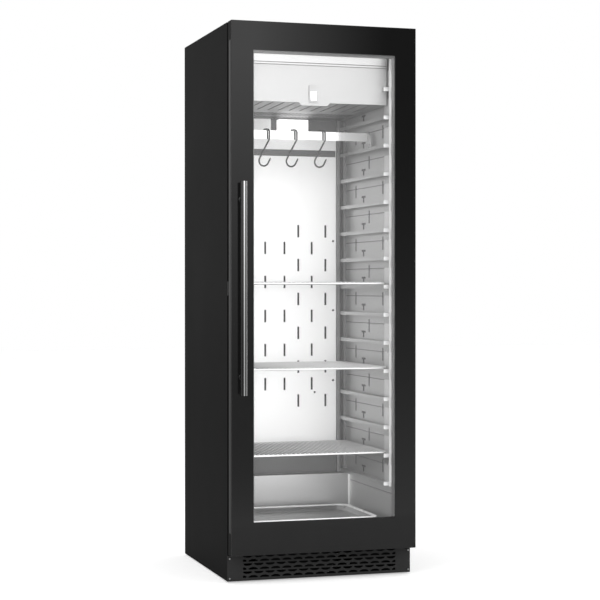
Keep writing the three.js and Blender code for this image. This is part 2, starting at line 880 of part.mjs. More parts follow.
function evaporatorCover() {
  const face = path([
    [-coverHalf, coverBottom],
    [coverTabCentre - coverTabHalf, coverBottom],
    [coverTabCentre - coverTabFlat, coverBottom - coverTabDrop],
    [coverTabCentre + coverTabFlat, coverBottom - coverTabDrop],
    [coverTabCentre + coverTabHalf, coverBottom],
    [coverHalf, coverBottom],
    [coverHalf, coverTop],
    [-coverHalf, coverTop],
  ]);
  const pan = path([
    [coverY, coverBottom],
    [coverBack, coverBottom - coverFall],
    [coverBack, coverBottom - coverFall + panelSheet],
    [coverY, coverBottom + panelSheet],
  ]);
  const cheeks = [-1, 1].map((side) => {
    const [a, b] = [side * coverHalf, side * (coverHalf - panelSheet)].sort((p, q) => p - q);
    const cheek = path([
      [coverY + panelSheet / 2, coverBottom],
      [coverBack, coverBottom - coverFall],
      [coverBack, chamberCeiling - clearance],
      [coverY + cheekSetback, chamberCeiling - clearance],
      [coverY + cheekSetback, coverTop],
      [coverY + panelSheet / 2, coverTop],
    ]);
    return alongX(cheek, a, b);
  });
  const spoutLevel = coverBottom - coverFall;
  const spout = block(
    drainPlace - spoutWidth / 2, drainPlace + spoutWidth / 2,
    coverBack - panelSheet, coverBack + spoutLength,
    spoutLevel, spoutLevel + panelSheet,
  );
  const louvrePitch = 2 * (coverHalf - louvreSideMargin) / (louvreCount - 1);
  const louvres = Array.from({ length: louvreCount }, (_, i) => {
    const centre = (i - (louvreCount - 1) / 2) * louvrePitch;
    return block(
      centre - louvreWidth / 2, centre + louvreWidth / 2,
      coverY + louvreStart, coverY + louvreStart + louvreLength,
      coverBottom - coverFall - overrun, coverBottom + panelSheet + overrun,
    );
  });
  const slotPitch = 2 * (coverHalf - panSlotSideMargin) / (panSlotCount - 1);
  const slotLength = (coverBack - coverY - panSlotStart - panSlotGap - panSlotEndGap) / 2;
  const slots = Array.from({ length: 2 * panSlotCount }, (_, i) => {
    const centre = (i % panSlotCount) * slotPitch - coverHalf + panSlotSideMargin;
    const start = coverY + panSlotStart + (i < panSlotCount ? 0 : slotLength + panSlotGap);
    return block(
      centre - panSlotWidth / 2, centre + panSlotWidth / 2, start, start + slotLength,
      coverBottom - coverFall - overrun, coverBottom + panelSheet + overrun,
    );
  });
  const shell = join(
    alongY(face, coverY, coverY + panelSheet),
    alongX(pan, -coverHalf, coverHalf),
    ...cheeks,
    spout,
  );
  return cut(shell, ...louvres, ...slots);
}

function coverFascia() {
  const foot = coverTop + clearance;
  const top = chamberCeiling - clearance;
  const profile = path([
    [coverY - panelSheet, foot],
    [coverY + panelSheet, foot],
    [coverY + panelSheet, foot + fasciaHem],
    [coverY - fasciaLean + panelSheet, top],
    [coverY - fasciaLean, top],
    [coverY, foot + fasciaHem],
    [coverY - panelSheet, foot + fasciaHem],
  ]);
  return alongX(profile, -coverHalf, coverHalf);
}

function statusLight() {
  const back = coverY - clearance;
  const bottom = coverBottom;
  const lensHalf = statusWidth / 2 - statusLensMargin;
  return join(
    block(-statusWidth / 2, statusWidth / 2, back - statusDepth, back, bottom, bottom + statusHeight),
    block(
      -lensHalf, lensHalf, back - statusDepth - statusLensRise, back - statusDepth / 2,
      bottom + statusLensMargin, bottom + statusLensMargin + statusLens,
    ),
  );
}

function chamberLamp() {
  const back = rearPanelFace - clearance;
  const top = coverBottom - coverFall - lampBelowPan;
  const front = back - lampDepth;
  return join(
    block(lampLeft, lampLeft + lampWidth, front + lampLens, back, top - lampHeight, top),
    block(
      lampLeft + lampLensMargin, lampLeft + lampWidth - lampLensMargin, front, front + lampLens * 2,
      top - lampHeight + lampLensMargin, top - lampLensMargin,
    ),
  );
}

function ledStrip() {
  const half = coverHalf - ledEndInset;
  const front = linerFront + ledInset;
  const top = chamberCeiling - clearance;
  return alongX(path([
    [front, top],
    [front, top - ledHeight],
    [front + ledDepth - ledHeight, top - ledHeight],
    [front + ledDepth, top - ledHeight / 2],
    [front + ledDepth, top],
  ]), -half, half);
}

piece('evaporator_cover', evaporatorCover(), brushedSteel);
piece('cover_fascia', coverFascia(), brushedSteel);
piece('status_light', statusLight(), greyPlastic);
piece('chamber_lamp', chamberLamp(), litPlastic);
piece('led_strip', ledStrip(), litPlastic);

// Finned heat exchanger: a fin block between two end plates, with return bends outside them

function finBlock({ x0, x1, y0, y1, z0, z1 }) {
  const lip = coilPlateLip / 2;
  const half = coilPlateThickness / 2;
  const core = block(x0 + half, x1 - half, y0 + lip, y1 - lip, z0 + lip, z1 - lip);
  const plateSpans = [[x0, x0 + coilPlateThickness], [x1 - coilPlateThickness, x1]];
  const plates = plateSpans.map(([a, b]) => block(a, b, y0, y1, z0, z1));
  const middle = (y0 + y1) / 2;
  const outlets = [[x0 - coilBendReach, x0 + half], [x1 - half, x1 + coilBendReach]];
  const bends = [];
  for (let row = 0; row < coilRows; row += 1) {
    const level = z0 + (row + 1 / 2) * (z1 - z0) / coilRows;
    bends.push(...outlets.map(([a, b]) => block(
      a, b, middle - coilBendSpan / 2, middle + coilBendSpan / 2,
      level - coilBendHeight / 2, level + coilBendHeight / 2,
    )));
  }
  return join(core, ...plates, ...bends);
}

// Axial fan: a square frame with a round tunnel, and a motor hub on four struts at its back

function fanFrame(square) {
  const half = square / 2;
  const tunnel = half - fanWall;
  const hubBack = fanDepth;
  const frame = cut(
    block(-half, half, 0, fanDepth, -half, half),
    rodY(tunnel, 0, 0, -overrun, fanDepth + overrun, 2 * roundSides),
  );
  const reach = tunnel + fanWall / 2;
  return join(
    frame,
    rodY(fanHubRadius, 0, 0, hubBack - fanHubPlate, hubBack),
    block(-reach, reach, hubBack - fanHubPlate, hubBack, -fanStrut / 2, fanStrut / 2),
    block(-fanStrut / 2, fanStrut / 2, hubBack - fanHubPlate, hubBack, -reach, reach),
  );
}

function fanRotor(square) {
  const tip = square / 2 - fanWall - bladeGap;
  const front = bladeGap;
  const back = fanDepth - fanHubPlate - clearance;
  const chord = (back - front) / Math.cos(bladePitchAngle) - bladeThickness * 2;
  const blades = Array.from({ length: bladeCount }, (_, i) => {
    const length = tip - fanHubRadius + bladeRoot;
    const blade = new THREE.BoxGeometry(length, chord, bladeThickness).rotateX(bladePitchAngle);
    blade.translate(fanHubRadius - bladeRoot + length / 2, (front + back) / 2, 0);
    return blade.rotateY(2 * Math.PI * i / bladeCount);
  });
  return join(rodY(fanHubRadius, 0, 0, front, back), ...blades);
}

const coilBottom = panTop(coilY) + clearance;
piece('evaporator_coil', finBlock({
  x0: -coilHalf,
  x1: coilHalf,
  y0: coilY,
  y1: coilY + coilDepth,
  z0: coilBottom,
  z1: coilBottom + coilHeight,
}), paleAluminium);

function placeFan(name, square, x, y, bottom) {
  const group = new THREE.Group();
  group.position.set(x, y, bottom + square / 2);
  piece(`${name}_frame`, fanFrame(square), blackPlastic, group);
  piece(`${name}_rotor`, fanRotor(square), blackPlastic, group);
  cabinet.add(group);
}

placeFan('evaporator_fan', fanSquare, 0, fanY, panTop(fanY) + clearance);

// Hanging rail: a flat bar on edge with a foot at each end that stands on the third runners

const railY = bodyFront + railInset;
const railLedge = runnerLevels[railRunner - 1];
const railBottom = railLedge + railRise;
const railTop = railBottom + railHeight;

function hangingRail() {
  const endOuter = rackOuter - railEndInset;
  const foot = railLedge + clearance;
  const bar = block(
    -endOuter, endOuter,
    railY - railThickness / 2, railY + railThickness / 2, railBottom, railTop,
  );
  const curve = new THREE.QuadraticBezierCurve(
    new THREE.Vector2(railY - railThickness / 2, railTop),
    new THREE.Vector2(railY - railFootFrontReach, railTop),
    new THREE.Vector2(railY - railFootFrontReach, foot + railFootHeight),
  );
  const outline = curve.getPoints(railCurveSteps).map(({ x, y }) => [x, y]);
  outline.push([railY - railFootFrontReach, foot], [railY + railFootBackReach, foot]);
  outline.push([railY + railFootBackReach, foot + railFootHeight], [railY + railThickness / 2, railTop]);
  const ends = [-1, 1].flatMap((side) => {
    const [a, b] = [side * endOuter, side * (endOuter - railThickness)].sort((p, q) => p - q);
    const knobInner = side * (endOuter - railThickness - railKnobReach);
    const [c, d] = [knobInner, side * (endOuter - railThickness / 2)].sort((p, q) => p - q);
    const knobY = railY - railFootFrontReach + railKnobRadius;
    const knob = rodX(railKnobRadius, knobY, foot + railKnobRadius, c, d, knobSides);
    return [alongX(path(outline), a, b), knob];
  });
  return join(bar, ...ends);
}

function bend(centre, level, radius, from, to) {
  return Array.from({ length: hookBendSteps + 1 }, (_, i) => {
    const angle = from + (to - from) * i / hookBendSteps;
    return [centre + radius * Math.cos(angle), level + radius * Math.sin(angle)];
  });
}

// Hook points run in its own plane, from the tip behind the rail to the tip of the lower bend
function hookPoints() {
  const radius = hookWire / 2;
  const inner = hookUpperRadius - radius;
  const bite = railThickness / 2 / Math.sin(hookTurn);
  const crown = 2 * clearance + radius + inner - Math.sqrt(inner ** 2 - bite ** 2);
  const eye = crown - hookUpperRadius;
  const low = crown + hookWire - hookLength + hookLowerRadius;
  return [
    [-hookUpperRadius, eye - hookUpperTip],
    ...bend(0, eye, hookUpperRadius, Math.PI, 0),
    [hookUpperRadius, eye - hookUpperTip],
    [hookUpperRadius - hookShankLean, -railHeight],
    ...bend(hookLowerShift, low, hookLowerRadius, hookLowerStart, 2 * Math.PI),
    [hookLowerShift + hookLowerRadius + hookTipReach, low + hookTipRise],
  ];
}

function hook() {
  const along = new THREE.Vector3(Math.cos(hookTurn), -Math.sin(hookTurn), 0);
  const points = hookPoints().map(([s, t]) => new THREE.Vector3(s * along.x, s * along.y, t));
  return wireAlong(points, hookWire / 2, hookSides, hookSteps);
}

piece('hanging_rail', hangingRail(), brightSteel);
hookPlaceShares.forEach((share, index) => {
  piece(`hook_${index + 1}`, hook(), brightSteel).position.set(share * rackOuter, railY, railTop);
});

// Wire shelves: a frame of thick wire under a grid of thin wires

function wireShelf() {
  const [front, back] = [bodyFront + shelfFront, rearPanelFace - shelfBackGap];
  const shelfHalf = sidePanelFace - shelfSideGap;
  const frame = shelfFrameThickness;
  const inner = shelfHalf - frame;
  const mouth = rectangle(-inner, inner, front + frame, back - frame);
  const ring = perforated(alongZ, rectangle(-shelfHalf, shelfHalf, front, back), [mouth], 0, frame);
  const start = shelfWireMargin - shelfHalf;
  const wire = shelfWireThickness;
  const pitch = (wire - 2 * start) / shelfWireCount;
  const gaps = [];
  for (let i = 0; i < shelfWireCount; i += 1) {
    const left = start + i * pitch;
    gaps.push(rectangle(left, left + pitch - wire, front + wire, back - wire));
  }
  const half = shelfHalf - shelfWireSinkDepth;
  const edge = shelfWireSinkDepth / 2;
  const gridBottom = frame - shelfWireSinkDepth;
  const outline = rectangle(-half, half, front + edge, back - edge);
  return join(ring, perforated(alongZ, outline, gaps, gridBottom, gridBottom + wire));
}

['upper', 'middle', 'lower'].forEach((name, index) => {
  const level = runnerLevels[shelfRunners[index] - 1] + clearance;
  piece(`shelf_${name}`, wireShelf(), brightSteel).position.set(0, 0, level);
});

function dripTray() {
  const [front, back] = [bodyFront + trayFront, rearPanelFace - airBoxDepth - trayBackGap];
  const bottom = chamberFloor + clearance;
  const top = bottom + trayHeight;
  const trayHalf = sidePanelFace - traySideGap;
  const half = trayHalf - trayRim;
  return cut(
    join(
      block(-half, half, front + trayRim, back - trayRim, bottom, top),
      block(-trayHalf, trayHalf, front, back, top - traySheet, top - traySheet / 4),
    ),
    block(
      -half + traySheet, half - traySheet,
      front + trayRim + traySheet, back - trayRim - traySheet,
      bottom + traySheet, top + overrun,
    ),
  );
}

piece('drip_tray', dripTray(), brushedSteel);

// Machine compartment

const deck = baseTop + clearance;
const machineHeight = foamBottom - deck;
const compressorRadius = (machineHeight - compressorSaddle / 2 - compressorHeadroom) / 2;
const compressorLength = width * compressorLengthShare;
const compressorLeft = width * compressorLeftShare;
const condenserLeft = width * condenserLeftShare;
const condenserWidth = width * condenserWidthShare;
const condenserHeight = machineHeight - condenserHeadroom;
const compressorY = bodyBack - compressorInset;
const compressorZ = deck + compressorSaddle + compressorRadius - compressorSaddle / 2;

function compressor() {
  const half = compressorLength / 2;
  const profile = [
    [0, -half],
    [compressorRadius / 2, -half + compressorDome / 4],
    [compressorRadius, -half + compressorDome],
    [compressorRadius, half - compressorDome],
    [compressorRadius / 2, half - compressorDome / 4],
    [0, half],
  ].map(([r, t]) => new THREE.Vector2(r, t));
  const shell = new THREE.LatheGeometry(profile, roundSides).rotateZ(-Math.PI / 2);
  shell.translate(compressorLeft + half, compressorY, compressorZ);
  const end = compressorLeft + compressorLength;
  const saddles = [compressorLeft + compressorSaddleInset, end - compressorSaddleInset];
  const feet = saddles.map((x) => block(
    x - compressorSaddle / 2, x + compressorSaddle / 2,
    compressorY - compressorSaddleDepth / 2, compressorY + compressorSaddleDepth / 2,
    deck, deck + compressorSaddle,
  ));
  const terminals = block(
    end - compressorBoxWidth, end + compressorBoxReach,
    compressorY - compressorBoxHeight / 2, compressorY + compressorBoxHeight / 2,
    compressorZ - compressorBoxHeight / 2, compressorZ + compressorBoxHeight / 2,
  );
  return join(shell, ...feet, terminals);
}

const condenserY = bodyFront + condenserInset;

function controlBox() {
  const front = bodyFront + controlInset;
  const [controlLeft, controlWidth] = [width * controlLeftShare, width * controlWidthShare];
  const controlHeight = machineHeight - controlHeadroom;
  return join(
    block(controlLeft, controlLeft + controlWidth, front, front + controlDepth, deck, deck + controlHeight),
    block(
      controlLeft + controlLid, controlLeft + controlWidth - controlLid,
      front + controlLid, front + controlDepth - controlLid,
      deck + controlHeight / 2, deck + controlHeight + controlLid,
    ),
  );
}

function evaporationPan() {
  const [panLeft, panWidth] = [width * panLeftShare, width * panWidthShare];
  const back = bodyBack - casingSheet - panInset;
  const front = back - panDepth;
  return cut(
    block(panLeft, panLeft + panWidth, front, back, deck, deck + panHeight),
    block(
      panLeft + panSheet, panLeft + panWidth - panSheet,
      front + panSheet, back - panSheet,
      deck + panSheet, deck + panHeight + overrun,
    ),
  );
}

function drainTube() {
  const top = coverBottom - coverFall - clearance;
  const bottom = deck + panHeight - drainDip;
  return cut(
    rodZ(drainRadius, drainPlace, drainY, bottom, top),
    rodZ(drainRadius - drainWall, drainPlace, drainY, bottom - overrun, top + overrun),
  );
}

function refrigerantPipe() {
  const start = compressorY + compressorRadius + clearance;
  const end = coilY + coilDepth - coilPlateLip / 2 + clearance;
  const turn = pipeRadius / 2;
  return join(
    rodY(pipeRadius, pipePlace, compressorZ, start, pipeY + turn),
    rodZ(pipeRadius, pipePlace, pipeY, compressorZ - turn, pipeLevel + turn),
    rodY(pipeRadius, pipePlace, pipeLevel, end, pipeY + turn),
  );
}

function powerInlet() {
  const [halfW, halfH] = [inletWidth / 2, inletHeight / 2];
  const [socketW, socketH] = [inletSocketWidth / 2, inletSocketHeight / 2];
  return cut(
    block(
      inletCentre - halfW, inletCentre + halfW,
      bodyBack - inletDepth, bodyBack,
      inletLevel - halfH, inletLevel + halfH,
    ),
    block(
      inletCentre - socketW, inletCentre + socketW,
      bodyBack - inletSocketDepth, bodyBack + overrun,
      inletLevel - socketH, inletLevel + socketH,
    ),
  );
}

piece('compressor', compressor(), blackPaint);
piece('condenser_coil', finBlock({
  x0: condenserLeft,
  x1: condenserLeft + condenserWidth,
  y0: condenserY,
  y1: condenserY + condenserDepth,
  z0: deck,
  z1: deck + condenserHeight,
}), blackPaint);
placeFan(
  'condenser_fan', condenserHeight, condenserLeft + condenserWidth / 2,
  condenserY + condenserDepth + condenserFanGap, deck,
);
piece('control_box', controlBox(), greyPlastic);
piece('evaporation_pan', evaporationPan(), greyPlastic);
piece('drain_tube', drainTube(), greyPlastic);
piece('refrigerant_pipe', refrigerantPipe(), copper);
piece('power_inlet', powerInlet(), blackPlastic);

// Door: an outer pane over the whole front, and a frame that holds the spacer and the inner pane

const frameFront = doorFront + glass + clearance;
const spacerBack = frameFront + spacerDepth;
const paneFront = spacerBack + clearance;
const flangeFront = paneFront + glass + clearance;

function opening(grow) {
  const half = windowHalf + grow;
  return rectangle(-half, half, windowBottom - grow, windowTop + grow);
}

function doorFrame() {
  const outline = rectangle(-halfWidth, halfWidth, doorBottom, height);
  const rebate = alongY(opening(spacerWidth + clearance), frameFront - overrun, flangeFront);
  const bore = boreRadius(hingePinRadius);
  const notch = block(
    halfWidth - hingeNotchWidth, halfWidth + overrun,
    frameFront - overrun, doorBack + overrun,
    height - hingeNotchDepth, height + overrun,
  );
  const groove = block(
    -halfWidth - overrun, -halfWidth + trimSheet + clearance,
    doorFront + trimInset - clearance, doorFront + trimInset + trimWidth + clearance,
    doorBottom + trimBottomInset - clearance, height - trimTopInset + clearance,
  );
  const lowerBore = doorBottom + hingePinLength;
  const upperBore = height - hingeNotchDepth - hingePinLength;
  return cut(
    perforated(alongY, outline, [opening(flangeSetback)], frameFront, doorBack),
    rebate,
    notch,
    groove,
    rodZ(bore, hingeX, hingeY, doorBottom - overrun, lowerBore),
    rodZ(bore, hingeX, hingeY, upperBore, height + overrun),
  );
}

// The spacer's inner edge shows beside the border, widest under the top
function glassSpacer() {
  const half = windowHalf - spacerSideLap;
  const inside = rectangle(-half, half, windowBottom - spacerFootDrop, windowTop - spacerTopLap);
  return perforated(alongY, opening(spacerWidth), [inside], frameFront, spacerBack);
}

function doorGasket() {
  const [inner, outer] = [gasketLap, gasketLap + gasketWidth];
  const outline = (grow) => {
    const half = chamberHalf + grow;
    return rectangle(-half, half, chamberFloor - grow, chamberCeiling + grow);
  };
  return perforated(alongY, outline(outer), [outline(inner)], doorBack + clearance, bodyFront - clearance);
}

function sideTrim() {
  return block(
    -halfWidth, -halfWidth + trimSheet,
    doorFront + trimInset, doorFront + trimInset + trimWidth,
    doorBottom + trimBottomInset, height - trimTopInset,
  );
}

piece('door_frame', doorFrame(), blackPaint);
const pane = rectangle(-halfWidth, halfWidth, doorBottom, height);
piece('outer_glass', alongY(pane, doorFront, doorFront + glass), blackGlass);
piece('glass_spacer', glassSpacer(), paleAluminium);
piece('inner_glass', alongY(opening(spacerWidth), paneFront, paneFront + glass), clearGlass);
piece('door_gasket', doorGasket(), rubber);
piece('door_side_trim', sideTrim(), paleAluminium);

// Handle: a square bar with broken corners on two round standoffs

function handleBar() {
  const left = -halfWidth + handleInset;
  const right = left + handleWidth;
  const back = handleFront + handleThickness;
  const corner = handleCorner;
  const plan = path([
    [left + corner, handleFront],
    [right - corner, handleFront],
    [right, handleFront + corner],
    [right, back - corner],
    [right - corner, back],
    [left + corner, back],
    [left, back - corner],
    [left, handleFront + corner],
  ]);
  return alongZ(plan, doorMiddle - handleLength / 2, doorMiddle + handleLength / 2);
}

piece('handle_bar', handleBar(), brushedSteel);
const standoffX = -halfWidth + handleInset + handleWidth / 2;
const standoffSpan = [handleFront + handleThickness + clearance, doorFront - clearance];
[['upper', 1], ['lower', -1]].forEach(([name, side]) => {
  const level = doorMiddle + side * (handleLength / 2 - standoffEndInset);
  piece(`handle_standoff_${name}`, rodY(standoffRadius, standoffX, level, ...standoffSpan), brushedSteel);
});

// Hinges: a plate on the body, an arm under or over the door, and a pin that enters the door

function hinge(armBottom, direction) {
  const face = bodyFront - clearance;
  const right = halfWidth - hingeEdge;
  const armTop = armBottom + hingeArm;
  const plateBottom = direction > 0 ? armBottom : armTop - hingePlateHeight;
  const pin = direction > 0
    ? [armTop - hingeArm / 2, armTop + hingePinLength]
    : [armBottom - hingePinLength, armBottom + hingeArm / 2];
  return join(
    block(
      right - hingePlateWidth, right, face - hingePlate, face,
      plateBottom, plateBottom + hingePlateHeight,
    ),
    block(
      hingeX - hingeArmWidth / 2, hingeX + hingeArmWidth / 2,
      hingeY, face - hingePlate / 2, armBottom, armTop,
    ),
    rodZ(hingeArmWidth / 2, hingeX, hingeY, armBottom, armTop),
    rodZ(hingePinRadius, hingeX, hingeY, ...pin),
  );
}

piece('lower_hinge', hinge(hingeArmBottom, 1), blackPaint);
piece('upper_hinge', hinge(height - hingeNotchDepth + clearance, -1), blackPaint);

// Door contact that tells the control that the door is shut

const contactLeft = -halfWidth + contactInset;
piece('door_contact', block(
  contactLeft, contactLeft + contactWidth,
  bodyFront - clearance - contactDepth, bodyFront - clearance,
  doorMiddle - contactHeight / 2, doorMiddle + contactHeight / 2,
), blackPlastic);

export default cabinet;
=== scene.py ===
from math import cos, pi, radians, sin

import bmesh
import bpy
from mathutils import Matrix, Quaternion, Vector


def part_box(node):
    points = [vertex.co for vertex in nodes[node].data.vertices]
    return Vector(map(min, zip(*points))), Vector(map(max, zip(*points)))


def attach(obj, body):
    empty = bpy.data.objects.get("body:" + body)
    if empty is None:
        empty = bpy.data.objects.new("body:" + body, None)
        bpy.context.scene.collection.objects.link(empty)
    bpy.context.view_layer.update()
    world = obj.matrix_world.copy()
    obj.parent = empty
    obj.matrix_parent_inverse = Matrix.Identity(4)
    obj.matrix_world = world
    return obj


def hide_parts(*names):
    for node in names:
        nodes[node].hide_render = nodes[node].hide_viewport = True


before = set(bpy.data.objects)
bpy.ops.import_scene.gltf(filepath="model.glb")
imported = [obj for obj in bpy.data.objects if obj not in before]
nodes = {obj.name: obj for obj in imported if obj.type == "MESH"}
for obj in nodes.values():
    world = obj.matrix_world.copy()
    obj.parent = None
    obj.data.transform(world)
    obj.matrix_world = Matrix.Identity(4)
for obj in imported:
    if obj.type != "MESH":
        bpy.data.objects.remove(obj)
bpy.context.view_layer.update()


# Camera
# It stands where the photograph was taken from: a little to the left, at half the cabinet's
# height, well over five metres away, with a long lens.
lens = bpy.data.cameras.new("camera")
lens.sensor_width = 36
lens.lens = 104.2
lens.shift_x = -0.1
lens.clip_end = 60
dip, swing = 0.00691, 0.31793
camera = bpy.data.objects.new("camera", lens)
camera.location = (-1.5755, -5.4382, 0.9056)
camera.rotation_euler = (pi / 2 - dip, 0, -swing)
bpy.context.scene.collection.objects.link(camera)
bpy.context.scene.camera = camera
bpy.context.scene.view_settings.view_transform = "Standard"


# Studio
# A pale seamless floor under soft daylight from all sides, with a large soft lamp on the left, one
# on the right, and one above. The background shows as plain white.
class Value:
    """A shader socket that takes part in plain arithmetic."""

    def __init__(self, finish, socket):
        self.finish = finish
        self.socket = socket

    def math(self, operation, *values):
        """A Math node on the values given, in the finish that this socket belongs to."""
        return self.finish.node("ShaderNodeMath", {"operation": operation}, dict(enumerate(values)))

    def __add__(self, other):
        return self.math("ADD", self, other)

    def __sub__(self, other):
        return self.math("SUBTRACT", self, other)

    def __rsub__(self, other):
        return self.math("SUBTRACT", other, self)

    def __mul__(self, other):
        return self.math("MULTIPLY", self, other)

    def __truediv__(self, other):
        return self.math("DIVIDE", self, other)

    def __mod__(self, other):
        return self.math("FLOORED_MODULO", self, other)

    def __pow__(self, other):
        return self.math("POWER", self, other)

    def __abs__(self):
        return self.math("ABSOLUTE", self)

    def __or__(self, other):
        return self.math("MAXIMUM", self, other)

    __radd__ = __add__
    __rmul__ = __mul__

    def near(self, centre, reach):
        """1 where the value lies within reach of centre, and 0 elsewhere."""
        return self.math("COMPARE", self, centre, reach)

    def above(self, limit):
        return self.math("GREATER_THAN", self, limit)

    def in_rows(self, first, pitch, reach):
        """1 within reach of the first row and of every row a pitch further, and 0 elsewhere."""
        return ((self - (first - pitch / 2)) % pitch).near(pitch / 2, reach)


class Finish:
    """One material, the one way its nodes are made, and the sockets of its main shader."""

    def __init__(self, name, **settings):
        self.material = bpy.data.materials.new(name)
        self.material.use_nodes = True
        self.tree = self.material.node_tree
        self.shader = self.tree.nodes["Principled BSDF"]
        self.place = self.node("ShaderNodeTexCoord", output="Object")
        self.set(**settings)

    def node(self, kind, settings=None, inputs=None, output=0):
        made = self.tree.nodes.new(kind)
        for key, value in (settings or {}).items():
            setattr(made, key, value)
        for key, value in (inputs or {}).items():
            self.plug(made.inputs[key], value)
        return Value(self, made.outputs[output])

    def plug(self, socket, value):
        if isinstance(value, Value):
            self.tree.links.new(value.socket, socket)
        else:
            socket.default_value = value

    def set(self, **settings):
        for key, value in settings.items():
            self.plug(self.shader.inputs[key.replace("_", " ").title().replace("Ior", "IOR")], value)

    def axes(self):
        split = self.node("ShaderNodeSeparateXYZ", inputs={"Vector": self.place})
        return [Value(self, split.socket.node.outputs[i]) for i in range(3)]

    def stretched(self, x, y, z):
        """Object coordinates, scaled along each axis."""
        return self.node("ShaderNodeMapping", inputs={"Vector": self.place, "Scale": (x, y, z)})

    def noise(self, size, detail=3, where=None):
        """Noise whose clouds are about size metres across."""
        inputs = {"Vector": where or self.place, "Scale": 1 / size, "Detail": detail}
        return self.node("ShaderNodeTexNoise", inputs=inputs)

    def ramp(self, value, low, high, curve="LINEAR"):
        """Rises from 0 to 1 while the value goes from low to high."""
        inputs = {"Value": value, "From Min": low, "From Max": high}
        return self.node("ShaderNodeMapRange", {"interpolation_type": curve}, inputs)

    def blend(self, share, first, second):
        """A colour that goes from first to second as share goes from 0 to 1."""
        inputs = {0: share, 6: first, 7: second}
        return self.node("ShaderNodeMix", {"data_type": "RGBA"}, inputs, output=2)

    def bump(self, height, depth, under=None):
        inputs = {"Height": height, "Distance": depth, "Strength": 1.0}
        if under:
            inputs["Normal"] = under
        return self.node("ShaderNodeBump", inputs=inputs)


def grey(level, tint=(0, 0, 0)):
    return (level + tint[0], level + tint[1], level + tint[2], 1)


def soft_lamp(name, size, power, place, aim):
    lamp = bpy.data.lights.new(name, "AREA")
    lamp.shape = "RECTANGLE"
    lamp.size, lamp.size_y = size
    lamp.energy = power
    holder = bpy.data.objects.new(name, lamp)
    holder.location = place
    holder.rotation_euler = (Vector(aim) - Vector(place)).to_track_quat("-Z", "Y").to_euler()
    holder.visible_camera = False
    bpy.context.scene.collection.objects.link(holder)
    return holder


def seen_as_white(tree, shader):
    """Camera, mirror and glass rays see plain white, and the rest see the shader itself."""
    path = tree.nodes.new("ShaderNodeLightPath")
    seen = path.outputs["Is Camera Ray"]
    for ray in ("Is Glossy Ray", "Is Transmission Ray"):
        either = tree.nodes.new("ShaderNodeMath")
        either.operation = "MAXIMUM"
        tree.links.new(seen, either.inputs[0])
        tree.links.new(path.outputs[ray], either.inputs[1])
        seen = either.outputs[0]
    white = tree.nodes.new("ShaderNodeBackground")
    white.inputs["Color"].default_value = grey(1.0)
    white.inputs["Strength"].default_value = 1.0
    mix = tree.nodes.new("ShaderNodeMixShader")
    tree.links.new(seen, mix.inputs[0])
    tree.links.new(shader.outputs[0], mix.inputs[1])
    tree.links.new(white.outputs[0], mix.inputs[2])
    return mix


world = bpy.data.worlds.new("studio")
bpy.context.scene.world = world
world.use_nodes = True
daylight = world.node_tree.nodes["Background"]
daylight.inputs["Color"].default_value = grey(1.0)
daylight.inputs["Strength"].default_value = 0.55
sky = seen_as_white(world.node_tree, daylight)
world.node_tree.links.new(sky.outputs[0], world.node_tree.nodes["World Output"].inputs["Surface"])

ground = bmesh.new()
bmesh.ops.create_grid(ground, x_segments=1, y_segments=1, size=20)
floor_mesh = bpy.data.meshes.new("studio_floor")
ground.to_mesh(floor_mesh)
ground.free()
studio_floor = bpy.data.objects.new("studio_floor", floor_mesh)
bpy.context.scene.collection.objects.link(studio_floor)
pale = Finish("pale_floor", base_color=grey(0.93), roughness=0.9)
floor_path = pale.node("ShaderNodeLightPath", output="Is Camera Ray")
pale.set(emission_color=pale.blend(floor_path, grey(0), grey(1.0)), emission_strength=0.45)
floor_mesh.materials.append(pale.material)

# A wide reflector stands half a metre before the door. It lights nothing: it only shows in
# polished faces, where it gives the black glass its slow change from light to dark. It fades
# into the white room at its ends, so that no edge of it shows in the glass.
screen_middle, screen_half_size = Vector((0.17, -0.86, 1.3)), Vector((2.2, 1.0, 1.3))
standing = Matrix.Rotation(pi / 2, 4, "X")
screen = bmesh.new()
bmesh.ops.create_grid(screen, x_segments=1, y_segments=1, size=1, matrix=standing)
bmesh.ops.scale(screen, vec=screen_half_size, verts=screen.verts)
bmesh.ops.translate(screen, vec=screen_middle, verts=screen.verts)
reflector_mesh = bpy.data.meshes.new("studio_reflector")
screen.to_mesh(reflector_mesh)
screen.free()
reflector = bpy.data.objects.new("studio_reflector", reflector_mesh)
bpy.context.scene.collection.objects.link(reflector)
reflector.visible_camera = False
reflector.visible_diffuse = False
reflector.visible_transmission = False
reflector.visible_shadow = False
cloth = Finish("reflector_cloth", base_color=grey(0), specular_ior_level=0, roughness=1.0)
cloth_x, _, cloth_z = cloth.axes()
to_right = cloth.ramp(cloth_x, low=-0.16, high=0.5)
to_top = cloth.ramp(cloth_z, low=0.0, high=1.8)
upper_left = (1 - to_right) ** 1.3 * to_top ** 1.5
near_floor = (1 - to_top) ** (6 - 4 * to_right)
lit = 2.1 * upper_left + 0.95 * near_floor
to_end = cloth.ramp(abs(cloth_x - screen_middle.x), low=0.7, high=2.1)
to_upper_edge = cloth.ramp(cloth_z, low=1.95, high=2.55)
kept = (1 - to_end) * (1 - to_upper_edge)
cloth.set(emission_color=lit * kept + (1 - kept), emission_strength=1.0)
reflector_mesh.materials.append(cloth.material)

cabinet_middle = (0, 0, 0.9)
soft_lamp("key_lamp", size=(2.5, 3.0), power=60, place=(-3.6, -3.0, 2.6), aim=cabinet_middle)
soft_lamp("fill_lamp", size=(2.5, 3.0), power=35, place=(4.2, -2.2, 2.2), aim=cabinet_middle)
soft_lamp("top_lamp", size=(3.0, 3.0), power=45, place=(0, -0.6, 4.4), aim=cabinet_middle)


